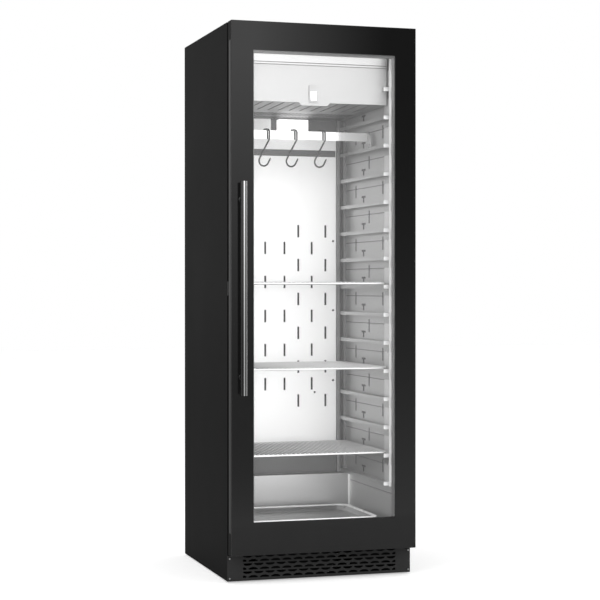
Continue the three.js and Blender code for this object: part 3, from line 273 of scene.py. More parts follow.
# Casing: two side panels and a top panel
# Folded from one millimetre steel sheet, washed and powder coated satin black, then hung on the
# foamed body from behind.
def coat(finish, *names):
    """Gives pieces of the CAD model their finish."""
    for name in names:
        nodes[name].material_slots[0].material = finish.material


def powder_coat(name, level, rough):
    paint = Finish(name, specular_ior_level=0.005)
    peel = paint.noise(0.0011, detail=2)
    cloud = paint.noise(0.19, detail=4)
    paint.set(
        base_color=paint.blend(cloud, grey(level * 0.88), grey(level * 1.1)),
        roughness=rough + 0.07 * (cloud - 0.5) + 0.06 * (peel - 0.5),
        normal=paint.bump(peel, depth=0.00005),
    )
    return paint


satin_black = powder_coat("satin_black_powder_coat", level=0.009, rough=0.44)
coat(satin_black, "side_panel_left", "side_panel_right", "top_panel")


# Rear panel and base frame
# The rear panel is hot dip galvanised sheet, left bare, with a row of vents and an inlet for the
# mains at its foot. The base frame is painted black.
zinc = Finish("galvanised_sheet", metallic=0.85)
zinc_cloud = zinc.noise(0.02, detail=2)
spangle = zinc.node("ShaderNodeTexVoronoi", inputs={"Vector": zinc.place, "Scale": 55}, output="Color")
spangle_grey = zinc.node("ShaderNodeRGBToBW", inputs={"Color": spangle})
bluish = (0, 0.004, 0.008)
zinc.set(
    base_color=zinc.blend(spangle_grey, grey(0.30, bluish), grey(0.44, bluish)),
    roughness=0.42 + 0.16 * spangle_grey + 0.05 * zinc_cloud,
    normal=zinc.bump(spangle_grey, depth=0.00002),
)
coat(zinc, "rear_panel")
coat(powder_coat("base_frame_paint", level=0.006, rough=0.6), "base_frame")


# Levelling feet
# A moulded rubber pad on a threaded steel stem, turned by hand under the base frame.
def fit(name, mesh_build, finish, body, stands_for=(), smooth=35):
    """Turns a bmesh into a piece that rides on a body and takes its finish from a slot."""
    bmesh.ops.recalc_face_normals(mesh_build, faces=mesh_build.faces)
    mesh = bpy.data.meshes.new(name)
    mesh_build.to_mesh(mesh)
    mesh_build.free()
    mesh.shade_smooth()
    mesh.set_sharp_from_angle(angle=radians(smooth))
    mesh.materials.append(finish.material)
    piece = bpy.data.objects.new(name, mesh)
    bpy.context.scene.collection.objects.link(piece)
    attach(piece, body)
    if stands_for:
        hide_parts(*stands_for)


def turned(build, profile, place, facing, steps):
    """Spins a profile of (radius, height) pairs about an axis that leaves place towards facing."""
    line = [build.verts.new((radius, 0, height)) for radius, height in profile]
    edges = [build.edges.new(pair) for pair in zip(line, line[1:])]
    bmesh.ops.spin(
        build, geom=line + edges, cent=(0, 0, 0), axis=(0, 0, 1), angle=2 * pi, steps=steps,
        use_merge=True,
    )
    fresh = [vert for vert in build.verts if not vert.tag]
    bmesh.ops.remove_doubles(build, verts=fresh, dist=1e-6)
    fresh = [vert for vert in build.verts if not vert.tag]
    turn = Vector((0, 0, 1)).rotation_difference(Vector(facing)).to_matrix().to_4x4()
    bmesh.ops.transform(build, matrix=Matrix.Translation(place) @ turn, verts=fresh)
    for vert in fresh:
        vert.tag = True


rubber = Finish("foot_rubber", roughness=0.8, base_color=grey(0.012))
rubber.set(normal=rubber.bump(rubber.noise(0.0008, detail=2), depth=0.00008))
stem_radius, stem_foot, stem_top = 0.005, 0.0137, 0.04
thread_depth, half_thread = 0.0006, 0.0007
thread = [
    (stem_radius - thread_depth * (i % 2), stem_foot + half_thread * i) for i in range(1, 37)
]
for number in range(1, 5):
    low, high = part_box(f"levelling_foot_{number}")
    centre = ((low.x + high.x) / 2, (low.y + high.y) / 2, 0)
    foot = bmesh.new()
    turned(foot, [
        (0, 0), (0.0178, 0), (0.0196, 0.0012), (0.02, 0.003), (0.0198, 0.0062), (0.0186, 0.007),
        (0.0118, 0.0085), (0.011, 0.0098), (0.011, 0.0134), (stem_radius, stem_foot),
        *thread, (0.0042, stem_top), (0, stem_top),
    ], centre, (0, 0, 1), steps=32)
    fit(f"foot_{number}_pad_and_stem", foot, rubber, f"levelling_foot_{number}",
        [f"levelling_foot_{number}"])


# Front frame, door contact and mains inlet
# The front frame is the plastic breaker that joins casing and liner round the chamber's mouth. It
# has a fine grain, and the two small mouldings are of the same plastic.
moulded = Finish("grained_black_plastic", roughness=0.5, base_color=grey(0.014), specular_ior_level=0.4)
moulded.set(normal=moulded.bump(moulded.noise(0.0006), depth=0.00006))
coat(moulded, "front_frame", "door_contact", "power_inlet")


# Kick grille
# Two millimetre steel, punched with rows of wave shaped vents and powder coated, held by four
# zinc plated pan head screws.
def pan_screw(build, place, facing, radius, rise=0.0018):
    """A pan head screw with a recess for the driver."""
    turned(build, [
        (0, rise * 0.45), (radius * 0.22, rise * 0.5), (radius * 0.28, rise * 0.98),
        (radius * 0.75, rise * 0.85), (radius, rise * 0.3), (radius, 0), (0, 0),
    ], place, facing, steps=12)


coat(powder_coat("kick_grille_powder_coat", level=0.048, rough=0.5), "kick_grille")
plain_screw = Finish("zinc_plated_screw", metallic=0.9, roughness=0.35, base_color=grey(0.5))
forwards = (0, -1, 0)
screw_column, from_edge, face_setback = 0.291, 0.009, 0.0016
kick_low, kick_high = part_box("kick_grille")
kick_screws = bmesh.new()
for across in (-screw_column, screw_column):
    for level in (kick_low.z + from_edge, kick_high.z - from_edge):
        place = (across, kick_low.y + face_setback, level)
        pan_screw(kick_screws, place, forwards, radius=0.0032, rise=0.0022)
fit("kick_grille_screws", kick_screws, plain_screw, "cabinet")


# Insulation
# Polyurethane foam, blown between casing and liner. It shows only from under the chamber.
foam = Finish("polyurethane_foam", roughness=0.9)
foam_cells = foam.node("ShaderNodeTexVoronoi", inputs={"Vector": foam.place, "Scale": 420})
foam.set(
    base_color=foam.blend(foam.noise(0.06, detail=4), (0.62, 0.47, 0.2, 1), (0.75, 0.6, 0.3, 1)),
    normal=foam.bump(foam_cells, depth=0.0003),
)
coat(foam, "insulation")


# Chamber liner
# Five sheets of brushed stainless steel, folded and sealed at the corners. Behind the air panels
# the sheet is painted near black, as painted shade for the dark of the ducts.
def brushed(name, dark, light, grain, rough=None):
    """Brushed metal: the two tones of its streaks, and their length along each axis in metres."""
    metal = Finish(name, metallic=1.0)
    metal.lines = metal.noise(1.0, where=metal.stretched(*(1 / length for length in grain)))
    metal.tone = metal.blend(metal.lines, dark, light)
    metal.scratches = metal.bump(metal.lines, depth=0.00001)
    metal.set(base_color=metal.tone, normal=metal.scratches)
    if rough is not None:
        cloud = metal.noise(0.14)
        metal.set(roughness=rough + 0.12 * (metal.lines - 0.5) + 0.06 * (cloud - 0.5))
    return metal


upright_grain = (0.0009, 0.0009, 0.12)
liner_steel = brushed("brushed_liner_steel", grey(0.37), grey(0.47), upright_grain, rough=0.36)
coat(liner_steel, "liner_top", "liner_floor")
# Painted shade: the rear liner is painted near black, for the dark of the duct behind the slots.
duct_shade_steel = brushed("duct_shade_steel", grey(0.012), grey(0.020), upright_grain, rough=0.6)
coat(duct_shade_steel, "liner_rear")
wall_steel = brushed("wall_liner_steel", grey(0.37), grey(0.47), upright_grain, rough=0.36)
_, wall_y, wall_z = wall_steel.axes()
panel_low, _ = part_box("side_air_panel_left")
flange = 0.012
# Painted shade: the side walls are painted near black behind the air panels.
behind_panel_shade = wall_y.above(panel_low.y + flange) * wall_z.above(panel_low.z + flange)
wall_steel.set(base_color=wall_steel.blend(behind_panel_shade, wall_steel.tone, grey(0.016)))
coat(wall_steel, "liner_left", "liner_right")


# Air panels on the side walls
# Stainless sheet with staggered upright slots, a T shaped keyhole over each runner and a shallow
# pressed rib between runners. The duct lies behind them. The keyholes, a rim round each slot and
# the crease of each rib are painted dark, as painted shade.
side_steel = brushed("side_air_panel_steel", grey(0.40), grey(0.48), upright_grain)
_, side_y, side_z = side_steel.axes()
first_runner, runner_pitch = 0.016, 0.09
bay = (side_z - first_runner) % runner_pitch
keyhole_y = 0.076
# Painted shade: the keyholes are painted dark, for the dark duct behind them.
keyhole_head = side_y.near(keyhole_y, 0.021) * bay.near(0.024, 0.0033)
keyhole_stem = side_y.near(keyhole_y, 0.0075) * bay.near(0.0135, 0.0085)
keyhole = (keyhole_head | keyhole_stem) * side_z.near(0.92, 0.665)
front_slot, middle_slot, rear_slot = -0.1221, 0.0180, 0.1582
pair_row, middle_row, row_pitch = 0.331, 0.421, 2 * runner_pitch
across_half, upright_half = 0.0052, 0.0215
pair_across = side_y.near(front_slot, across_half) | side_y.near(rear_slot, across_half)
middle_across = side_y.near(middle_slot, across_half)
pair_rows = side_z.in_rows(pair_row, row_pitch, upright_half)
middle_rows = side_z.in_rows(middle_row, row_pitch, upright_half)
# Painted shade: a dark rim is painted round each slot, so that it looks wider and darker.
slot_edge_shade = (pair_across * pair_rows | middle_across * middle_rows) * side_z.near(0.871, 0.565)
rib = 1 - side_steel.ramp(abs(bay - 0.052), low=0.0, high=0.004, curve="SMOOTHSTEP")
# Painted shade: a dark line is painted in the crease of each rib.
crease_shade = bay.near(0.0533, 0.0013)
crease_shaded_metal = side_steel.blend(crease_shade, side_steel.tone, grey(0.14))
side_steel.set(
    base_color=side_steel.blend(keyhole | slot_edge_shade, crease_shaded_metal, grey(0.015)),
    metallic=0.8 * (1 - (keyhole | slot_edge_shade)),
    roughness=0.4 + 0.06 * side_steel.lines,
    normal=side_steel.bump(rib - 4 * keyhole, depth=0.0006, under=side_steel.scratches),
)
coat(side_steel, "side_air_panel_left", "side_air_panel_right")


# Air panel on the rear wall and the box at its foot
# Stainless sheet with staggered upright slots that the fan blows through, held by eight screws.
# Its tone is painted far lighter than the other stainless, as painted light. A dark rim round each
# slot, the part above the rail and the strip below the lowest shelf are painted dark as painted
# shade, and the cross band is darker.
# Painted light: the sheet's tone is far lighter than the other stainless steel.
rear_steel = brushed("rear_air_panel_steel", grey(0.90), grey(0.96), upright_grain, rough=0.5)
rear_x, rear_y, rear_z = rear_steel.axes()
# The cross band is darker; the sheet above the rail and below the lowest shelf is painted shade.
cross_band = rear_z.near(1.367, 0.0112) * (1 - rear_y.above(0.2775))
above_rail = rear_z.above(1.436) * (1 - rear_x.near(-0.044, 0.03))
low_strip = 1 - rear_z.above(0.3735)
band_and_painted_shade = cross_band | above_rail | low_strip
outer_row, inner_row, row_pitch = 0.51996, 0.57798, 0.11604
across_half, upright_half = 0.0034, 0.0214
from_middle = abs(rear_x)
outer_across = from_middle.near(0.18007, across_half) | from_middle.near(0.08306, across_half)
inner_across = from_middle.near(0.13102, across_half) | from_middle.near(0.03401, across_half)
outer_rows = rear_z.in_rows(outer_row, row_pitch, upright_half) * rear_z.near(0.81, 0.32)
inner_rows = rear_z.in_rows(inner_row, row_pitch, upright_half) * rear_z.near(0.81, 0.26)
# Painted shade: a dark rim is painted round each slot, so that it looks wider and darker.
slot_edge_shade = outer_across * outer_rows | inner_across * inner_rows
slot_shaded_metal = rear_steel.blend(slot_edge_shade, rear_steel.tone, grey(0.06))
band_and_shade_metal = rear_steel.blend(low_strip, grey(0.12), grey(0.085))
rear_steel.set(
    base_color=rear_steel.blend(band_and_painted_shade, slot_shaded_metal, band_and_shade_metal),
    metallic=0.3 + 0.65 * band_and_painted_shade,
)
coat(rear_steel, "rear_air_panel")
box_steel = brushed("air_box_steel", grey(0.28), grey(0.35), (0.12, 0.0009, 0.0009), rough=0.36)
box_x, _, _ = box_steel.axes()
# Painted highlight: both ends of the box are painted near white.
painted_highlight_box_end = abs(box_x).above(0.2452)
box_steel.set(base_color=box_steel.blend(painted_highlight_box_end, box_steel.tone, grey(0.95)))
coat(box_steel, "lower_air_box")
dull_screw = Finish("passivated_screw", metallic=0.9, roughness=0.5, base_color=grey(0.1))
panel_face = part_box("rear_air_panel")[0].y
panel_screws = bmesh.new()
for side in (-1, 1):
    for across, level in ((0.207, 1.067), (0.207, 0.829), (0.207, 0.588), (0.141, 0.548)):
        pan_screw(panel_screws, (side * across, panel_face, level), forwards, radius=0.004)
fit("rear_air_panel_screws", panel_screws, dull_screw, "cabinet")


# Racks
# Pressed stainless posts with angle runners spot welded to them, one rack on each side wall.
rack_steel = brushed("rack_steel", grey(0.40), grey(0.47), (0.02, 0.05, 0.05), rough=0.42)
rack_x, rack_y, rack_z = rack_steel.axes()
# The posts' front faces are painted lighter as painted light, and the rear ends darker as painted shade.
beside_wall = abs(rack_x).above(0.2484)
at_runner = ((rack_z - first_runner) % runner_pitch).above(0.055)
lit_post_flange = beside_wall * (1 - rack_y.above(-0.1415)) * (1 - at_runner)
lit_front_face = (1 - rack_y.above(-0.1934)) * (1 - beside_wall) | lit_post_flange
lit_front_metal = rack_steel.blend(lit_front_face, rack_steel.tone, grey(0.6))
shaded_rear_end = rack_y.above(0.2672)
rack_steel.set(
    base_color=rack_steel.blend(shaded_rear_end, lit_front_metal, grey(0.17)),
    metallic=1 - 0.4 * lit_front_face,
)
coat(rack_steel, "rack_left", "rack_right")
bright_screw = Finish("stainless_screw", metallic=1.0, roughness=0.25, base_color=grey(0.62))
post_face, post_middle = 0.2502, -0.175
rack_screws = bmesh.new()
for side in (-1, 1):
    for level in (0.34, 0.70, 1.06, 1.42):
        pan_screw(rack_screws, (side * post_face, post_middle, level), (-side, 0, 0), radius=0.004)
fit("rack_screws", rack_screws, bright_screw, "cabinet")


# Evaporator cover and fascia
# A folded stainless tray under the ceiling, painted near black on the inside as painted shade. Its
# underside has long louvres in front and two rows of slots at the rear, for the fan's air.
lying_grain = (0.12, 0.02, 0.0009)
cover_steel = brushed("evaporator_cover_steel", grey(0.29), grey(0.33), lying_grain, rough=0.42)
cover_x, cover_y, cover_z = cover_steel.axes()
underside_fall, underside_top = 0.022, 1.4878
behind_front = cover_y.above(-0.1763)
within_sides = cover_x.near(0, 0.2443)
# Painted shade: the inside of the tray, above its underside, is painted near black.
painted_shade_inside = (cover_z + underside_fall * cover_y).above(underside_top) * within_sides * behind_front
pan_bars = cover_y.near(0.185, 0.09) * (1 - cover_z.above(1.4905))
bar_metal = cover_steel.blend(pan_bars, cover_steel.tone, grey(0.26))
cover_steel.set(
    base_color=cover_steel.blend(painted_shade_inside, bar_metal, grey(0.012)),
    metallic=1 - (painted_shade_inside | 0.25 * (1 - behind_front)),
)
coat(cover_steel, "evaporator_cover")
fascia_steel = brushed("fascia_steel", grey(0.34), grey(0.39), lying_grain, rough=0.35)
_, _, fascia_z = fascia_steel.axes()
# Painted shade: two dark lines stand for the shade in the grooves above and below the hem.
painted_groove_shade = fascia_z.near(1.6078, 0.0014) | fascia_z.near(1.6152, 0.0013)
fascia_steel.set(base_color=fascia_steel.blend(painted_groove_shade, fascia_steel.tone, grey(0.1)))
coat(fascia_steel, "cover_fascia")


# Status light, chamber lamp and ceiling strip
# Moulded housings with milky lenses over white light emitting diodes.
status = Finish("status_light_plastic", roughness=0.35, emission_strength=0.5)
status_x, _, status_z = status.axes()
status_lens = status_z.near(1.5120, 0.0140) * status_x.near(0.0006, 0.0094)
status.set(
    base_color=status.blend(status_lens, grey(0.3), grey(0.9)),
    emission_color=status.blend(status_lens, grey(0), grey(1.0)),
)
coat(status, "status_light")
milky = Finish("milky_lens", roughness=0.3, base_color=grey(0.9))
milky.set(
    emission_color=grey(1.0),
    emission_strength=0.9,
    normal=milky.bump(milky.noise(0.001, detail=2), depth=0.00003),
)
coat(milky, "chamber_lamp", "led_strip")
chamber_glow = soft_lamp(
    "chamber_glow", size=(0.50, 1.48), power=4.35, place=(0, -0.24, 0.90), aim=(0, 0.3, 0.90),
)
chamber_glow.data.spread = radians(150)
soft_lamp(
    "rear_lamp_spill", size=(0.10, 0.10), power=0.04, place=(0.057, 0.19, 1.462), aim=(0.057, 0.19, 1.6),
)
soft_lamp(
    "ceiling_strip_glow", size=(0.40, 0.05), power=0.2, place=(0, -0.222, 1.652), aim=(0, -0.05, 1.2),
)


# Cooling coil and condenser
# Aluminium fins pressed on copper tube, between two end plates. Both blocks are painted near
# black, as painted shade for the dark behind the grille's vents and inside the cover.
fins = Finish("shade_dark_fins", roughness=0.5, specular_ior_level=0.1)
fin_x, _, _ = fins.axes()
fin_pitch = 0.004
fin_wave = abs((fin_x % fin_pitch) / fin_pitch - 0.5) * 2
# Painted shade: the fins are near black.
fins.set(
    base_color=fins.blend(fin_wave, grey(0.004), grey(0.012)),
    normal=fins.bump(fin_wave, depth=0.001),
)
coat(fins, "evaporator_coil", "condenser_coil")


# Fans, control box, pans and tubes of the machine compartment
# Moulded fans, a sealed compressor in black enamel, a switch box, pan and drain tube of black
# plastic, and copper pipe.
fan_plastic = Finish("fan_plastic", roughness=0.45, base_color=grey(0.02))
fan_plastic.set(normal=fan_plastic.bump(fan_plastic.noise(0.0007, detail=2), depth=0.00004))
coat(fan_plastic, "evaporator_fan_frame", "evaporator_fan_rotor")
coat(fan_plastic, "condenser_fan_frame", "condenser_fan_rotor")
coat(powder_coat("compressor_enamel", level=0.01, rough=0.3), "compressor")
box_plastic = Finish("grey_plastic", roughness=0.5, specular_ior_level=0.1, base_color=grey(0.006))
box_plastic.set(normal=box_plastic.bump(box_plastic.noise(0.0007), depth=0.00005))
coat(box_plastic, "control_box", "evaporation_pan", "drain_tube")
dark_copper, light_copper = (0.55, 0.24, 0.12, 1), (0.72, 0.36, 0.2, 1)
copper = brushed("drawn_copper", dark_copper, light_copper, (0.002, 0.002, 0.05), rough=0.3)
coat(copper, "refrigerant_pipe")


# Hanging rail
# A flat stainless bar on edge, welded to curved end plates that stand on the third runners. It is
# polished, and dull towards its right end.
rail_steel = brushed("rail_steel", grey(0.48), grey(0.52), (0.1, 0.02, 0.0009))
rail_x, _, _ = rail_steel.axes()
dull_end = rail_steel.ramp(rail_x, low=0.126, high=0.152, curve="SMOOTHSTEP")
rail_steel.set(
    base_color=rail_steel.blend(dull_end, rail_steel.tone, grey(0.36)),
    metallic=1 - 0.6 * dull_end,
    roughness=0.035 + 0.02 * rail_steel.lines + 0.3 * dull_end,
)
coat(rail_steel, "hanging_rail")


# S hooks
# Round stainless wire, bent twice the same way round and ground to a point at the lower tip.
class Wire:
    """Round wire that is bent the way a bench bender does it: straight runs and even turns."""

    def __init__(self, start, heading, radius, sides):
        self.build = bmesh.new()
        self.at = Vector(start)
        self.heading = Vector(heading).normalized()
        self.radius = radius
        ring = bmesh.ops.create_circle(self.build, radius=radius, segments=sides)["verts"]
        turn = Vector((0, 0, 1)).rotation_difference(self.heading).to_matrix().to_4x4()
        bmesh.ops.transform(self.build, matrix=Matrix.Translation(self.at) @ turn, verts=ring)
        self.rim = list({edge for vert in ring for edge in vert.link_edges})

    def run(self, length, taper=1.0):
        made = bmesh.ops.extrude_edge_only(self.build, edges=self.rim)["geom"]
        ring = [item for item in made if isinstance(item, bmesh.types.BMVert)]
        self.at = self.at + self.heading * length
        bmesh.ops.translate(self.build, verts=ring, vec=self.heading * length)
        if taper != 1.0:
            hold = Matrix.Translation(-self.at)
            bmesh.ops.scale(self.build, verts=ring, vec=(taper, taper, taper), space=hold)
        inside = set(ring)
        self.rim = [e for e in made if isinstance(e, bmesh.types.BMEdge) and set(e.verts) <= inside]

    def turn(self, axis, angle, radius, steps):
        axis = Vector(axis).normalized()
        centre = self.at + axis.cross(self.heading) * radius
        made = bmesh.ops.spin(
            self.build, geom=self.rim, cent=centre, axis=axis, angle=angle, steps=steps,
        )
        self.rim = [item for item in made["geom_last"] if isinstance(item, bmesh.types.BMEdge)]
        swing = Quaternion(axis, angle)
        self.at = centre + swing @ (self.at - centre)
        self.heading = swing @ self.heading

    def close(self):
        """Rounds off the end that is being worked and closes the start flat."""
        for share in (0.8, 0.45):
            self.run(self.radius * 0.35, share)
        bmesh.ops.contextual_create(self.build, geom=self.rim)
        start = [edge for edge in self.build.edges if edge.is_boundary]
        bmesh.ops.contextual_create(self.build, geom=start)


def bend_axis(degrees):
    """The level axis of a bend that carries upright wire over towards this side of the rail."""
    side = Vector((cos(radians(degrees)), -sin(radians(degrees)), 0))
    return Vector((0, 0, 1)).cross(side)


hook_steel = brushed("hook_wire", grey(0.05), grey(0.08), (0.01, 0.01, 0.03), rough=0.22)
over_rail, down_shank = bend_axis(52), bend_axis(40)
wire_radius, lean, tip_rise = 0.0027, 0.518, 1.1
short_leg, rail_crossing, neck, shank, point = 0.0132, 0.010, 0.0177, 0.0668, 0.0125
tight_bend, wide_bend, shank_bend, lower_bend = 0.004, 0.010, 0.014, 0.0174
rail_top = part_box("hanging_rail")[1].z
for number, across in ((1, -0.104), (2, -0.012), (3, 0.084)):
    start = (across - 0.0096, 0.003, rail_top - 0.0142)
    hook = Wire(start, heading=(0, 0, 1), radius=wire_radius, sides=14)
    hook.run(short_leg)
    hook.turn(over_rail, pi / 2, tight_bend, steps=6)
    hook.run(rail_crossing)
    hook.turn(over_rail, pi / 2, wide_bend, steps=10)
    hook.run(neck)
    hook.turn(down_shank, lean, shank_bend, steps=6)
    hook.run(shank)
    hook.turn(-down_shank, lean + pi / 2 + tip_rise, lower_bend, steps=26)
    hook.run(point)
    hook.run(0.0045, taper=0.62)
    hook.run(0.0015, taper=0.45)
    bmesh.ops.contextual_create(hook.build, geom=hook.rim)
    fit(f"hook_{number}_wire", hook.build, hook_steel, f"hook_{number}",
        [f"hook_{number}"])


# Wire shelves
# A frame of thick nickel plated wire with thin wires welded across it from front to back.
wire_nickel = Finish("nickel_plated_wire", metallic=1.0, base_color=grey(0.6))
wire_nickel.set(
    roughness=0.3 + 0.1 * wire_nickel.noise(0.03),
    normal=wire_nickel.bump(wire_nickel.noise(0.0012, detail=2), depth=0.00001),
)
thick, thin, corner = 0.0035, 0.002, 0.008
rods, rod_pitch, rod_setback, rod_shorter = 33, 0.0148, 0.0016, 0.0056
for name in ("upper", "middle", "lower"):
    low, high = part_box(f"shelf_{name}")
    start = (low.x + thick + corner, low.y + thick, low.z + thick)
    frame_wire = Wire(start, heading=(1, 0, 0), radius=thick, sides=14)
    long_side = high.x - low.x - 2 * (thick + corner)
    short_side = high.y - low.y - 2 * (thick + corner)
    for side in (long_side, short_side, long_side, short_side):
        frame_wire.run(side)
        frame_wire.turn((0, 0, 1), pi / 2, corner, steps=8)
    shelf = frame_wire.build
    bmesh.ops.remove_doubles(shelf, verts=shelf.verts, dist=1e-5)
    for i in range(rods):
        start = ((i - rods // 2) * rod_pitch, low.y + rod_setback, high.z - thin)
        rod = Wire(start, heading=(0, 1, 0), radius=thin, sides=8)
        rod.run(high.y - low.y - rod_shorter)
        rod.close()
        strand = bpy.data.meshes.new("strand")
        rod.build.to_mesh(strand)
        rod.build.free()
        shelf.from_mesh(strand)
        bpy.data.meshes.remove(strand)
    fit(f"shelf_{name}_wires", shelf, wire_nickel, f"shelf_{name}", [f"shelf_{name}"])


# Drip tray
# Pressed from thin stainless sheet with sloping walls and a rolled rim. It stands on the floor of
# the chamber and lifts out to be washed.
def round_edges(build, edges, radius, segments):
    bmesh.ops.bevel(
        build, geom=edges, offset=radius, offset_type="OFFSET", segments=segments, profile=0.5,
        affect="EDGES", material=-1,
    )


def climb(edge):
    return abs(edge.verts[0].co.z - edge.verts[1].co.z)


low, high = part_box("drip_tray")
middle, half = (low + high) / 2, (high - low) / 2
mouth_inset, foot_inset, below_top, above_floor = 0.022, 0.05, 0.0014, 0.0006
tray = bmesh.new()
bmesh.ops.create_cube(tray, size=1.0)
for vert in tray.verts:
    at_mouth = vert.co.z > 0
    inset = mouth_inset if at_mouth else foot_inset
    vert.co.x = vert.co.x * (high.x - low.x - inset) + middle.x
    vert.co.y = vert.co.y * (high.y - low.y - inset) + middle.y
    vert.co.z = high.z - below_top if at_mouth else low.z + above_floor
lid = [face for face in tray.faces if face.normal.z > 0.9]
bmesh.ops.delete(tray, geom=lid, context="FACES_ONLY")
corners = [edge for edge in tray.edges if climb(edge) > 0.01]
round_edges(tray, corners, radius=0.03, segments=6)
closed_edges = [edge for edge in tray.edges if not edge.is_boundary]
base_edges = [edge for edge in closed_edges if all(v.co.z < low.z + 0.002 for v in edge.verts)]
round_edges(tray, base_edges, radius=0.006, segments=4)
rim = [edge for edge in tray.edges if edge.is_boundary]
for outward, upward in ((0.003, 0.0005), (0.006, 0.0), (0.0015, -0.0012), (0.0, -0.0025)):
    made = bmesh.ops.extrude_edge_only(tray, edges=rim)["geom"]
    ring = [item for item in made if isinstance(item, bmesh.types.BMVert)]
    for vert in ring:
        vert.co.x += outward * max(-1, min(1, (vert.co.x - middle.x) / (half.x * 0.93)))
        vert.co.y += outward * max(-1, min(1, (vert.co.y - middle.y) / (half.y * 0.9)))
        vert.co.z += upward
    inside = set(ring)
    rim = [item for item in made if isinstance(item, bmesh.types.BMEdge) and set(item.verts) <= inside]
bmesh.ops.recalc_face_normals(tray, faces=tray.faces)
bmesh.ops.solidify(tray, geom=tray.faces[:], thickness=0.0008)
tray_steel = brushed("drip_tray_steel", grey(0.28), grey(0.36), (0.08, 0.01, 0.01), rough=0.3)
_, _, tray_z = tray_steel.axes()
# Painted highlight: the rim is painted near white and less metallic.
painted_highlight_rim = tray_z.above(high.z - 0.0045)
tray_steel.set(
    base_color=tray_steel.blend(painted_highlight_rim, tray_steel.tone, grey(0.95)),
    metallic=1 - 0.7 * painted_highlight_rim,
)
fit("drip_tray_pressing", tray, tray_steel, "drip_tray", ["drip_tray"], smooth=50)


# Door frame and gasket
# A black extruded frame that holds the glazing, with a magnetic bellows gasket pushed into its
# back.
coat(powder_coat("door_frame_coat", level=0.0125, rough=0.4), "door_frame")
gasket = Finish("gasket_rubber", roughness=0.6, base_color=grey(0.012))
_, gasket_y, _ = gasket.axes()
first_fold, fold_pitch = -0.2657, 0.0045
fold = abs(((gasket_y - first_fold) % fold_pitch) / fold_pitch - 0.5)
gasket.set(normal=gasket.bump(fold, depth=0.0016))
coat(gasket, "door_gasket")


# Front pane
# Four millimetre toughened glass over the whole door, its edge ground round. A black ceramic
# border is fired on its back, and the middle is left clear.
def block(low, high):
    """A plain block between two corners, for its edges to be rounded."""
    build = bmesh.new()
    bmesh.ops.create_cube(build, size=1.0)
    bmesh.ops.scale(build, vec=high - low, verts=build.verts)
    bmesh.ops.translate(build, vec=(low + high) / 2, verts=build.verts)
    return build


front_glass = Finish("bordered_front_glass", roughness=0.05, specular_ior_level=0.3)
pane_x, _, pane_z = front_glass.axes()
clear = pane_x.near(0, 0.229) * pane_z.near(0.910, 0.722)
front_glass.set(
    base_color=front_glass.blend(clear, grey(0.010), grey(0.55)),
    alpha=1 - 0.955 * clear,
)
front_pane = block(*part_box("outer_glass"))
round_edges(front_pane, front_pane.edges[:], radius=0.0017, segments=4)
fit("front_pane", front_pane, front_glass, "door", ["outer_glass"])


# Inner pane and spacer
# The second pane of the sealed unit, on an aluminium spacer filled with desiccant.
clear_glass = Finish("clear_glass", roughness=0.03, specular_ior_level=0.4, base_color=grey(0.8))
clear_glass.set(alpha=0.045)
inner_pane = block(*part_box("inner_glass"))
round_edges(inner_pane, inner_pane.edges[:], radius=0.0004, segments=2)
fit("inner_pane", inner_pane, clear_glass, "door", ["inner_glass"])
spacer = Finish("spacer_aluminium", metallic=0.6, roughness=0.45)
spacer_x, _, spacer_z = spacer.axes()
dash_pitch, dash_half = 0.008, 0.0016
dash = ((spacer_x + spacer_z) % dash_pitch).near(dash_pitch / 2, dash_half)
spacer_metal = spacer.blend(dash, grey(0.3), grey(0.24))
# Painted shade: the spacer is painted near black below a height of 0.19 m.
clear_of_painted_shade = spacer_z.above(0.19)
spacer.set(base_color=spacer.blend(clear_of_painted_shade, grey(0.01), spacer_metal))
coat(spacer, "glass_spacer")


# Side trim of the door
# An anodised aluminium strip let into the door's left edge, brushed along its length.
trim_metal = brushed("anodised_trim", grey(0.012), grey(0.018), (0.0008, 0.0008, 0.2), rough=0.45)
trim_metal.set(specular_ior_level=0.1)
trim_low, trim_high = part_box("door_side_trim")
_, trim_y, _ = trim_metal.axes()
bare_strip = trim_y.above(trim_low.y + 0.42 * (trim_high.y - trim_low.y))
trim_metal.set(
    base_color=trim_metal.blend(bare_strip, grey(0.002), trim_metal.tone),
    metallic=bare_strip,
)
coat(trim_metal, "door_side_trim")


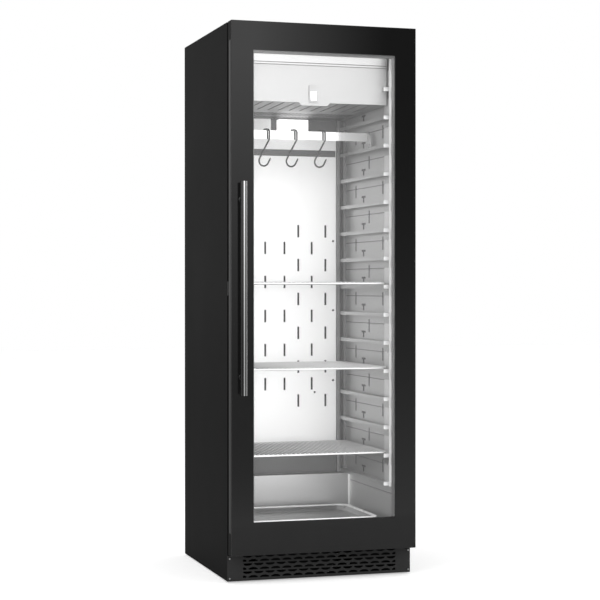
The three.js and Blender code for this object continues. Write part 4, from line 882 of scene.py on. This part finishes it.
# Handle
# A rectangular stainless bar with rounded edges, brushed along its length, on two round posts. Its
# front is dark, its right side is painted lighter as painted light, and the edge between them has a
# painted highlight.
handle_steel = brushed("handle_steel", grey(0.03), grey(0.06), (0.0006, 0.0006, 0.25), rough=0.24)
handle_x, _, _ = handle_steel.axes()
# Painted highlight along one edge, and painted light on the right side.
painted_highlight_edge, side_from, inner_from = handle_x.near(-0.2678, 0.0017), -0.2660, -0.2625
lit_brushed_side = handle_steel.blend(handle_steel.lines, grey(0.09), grey(0.14))
painted_light_side = handle_steel.blend(handle_x.above(inner_from), lit_brushed_side, grey(0.4))
front_and_painted_side = handle_steel.blend(handle_x.above(side_from), handle_steel.tone, painted_light_side)
handle_steel.set(base_color=handle_steel.blend(painted_highlight_edge, front_and_painted_side, grey(0.85)))
bar = block(*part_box("handle_bar"))
round_edges(bar, [edge for edge in bar.edges if climb(edge) > 0.1], radius=0.005, segments=6)
round_edges(bar, [edge for edge in bar.edges if climb(edge) < 0.001], radius=0.0008, segments=2)
fit("handle_bar_rounded", bar, handle_steel, "door", ["handle_bar"])
for name in ("upper", "lower"):
    low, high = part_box(f"handle_standoff_{name}")
    centre = ((low.x + high.x) / 2, high.y, (low.z + high.z) / 2)
    reach = high.y - low.y
    post = bmesh.new()
    turned(post, [
        (0, 0), (0.0085, 0), (0.0085, 0.0012), (0.0068, 0.0022), (0.0066, reach - 0.0006),
        (0.006, reach), (0, reach),
    ], centre, forwards, steps=32)
    fit(f"handle_post_{name}", post, handle_steel, "door", [f"handle_standoff_{name}"])


# Hinges
# Pressed steel plates on the body, with an arm under and over the door that carries its pin.
coat(powder_coat("hinge_paint", level=0.0125, rough=0.4), "upper_hinge", "lower_hinge")
black_screw = Finish("blackened_screw", metallic=0.9, roughness=0.3, base_color=grey(0.09))
plate_thickness, screw_column, from_lower_end, from_upper_end = 0.0022, 0.289, 0.014, 0.01
hinge_screws = bmesh.new()
for name in ("upper", "lower"):
    low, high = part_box(f"{name}_hinge")
    end = low.z + from_lower_end if name == "upper" else high.z - from_upper_end
    for level in (end, (low.z + high.z) / 2):
        place = (screw_column, high.y - plate_thickness, level)
        pan_screw(hinge_screws, place, forwards, radius=0.0032, rise=0.0012)
fit("hinge_screws", hinge_screws, black_screw, "cabinet")
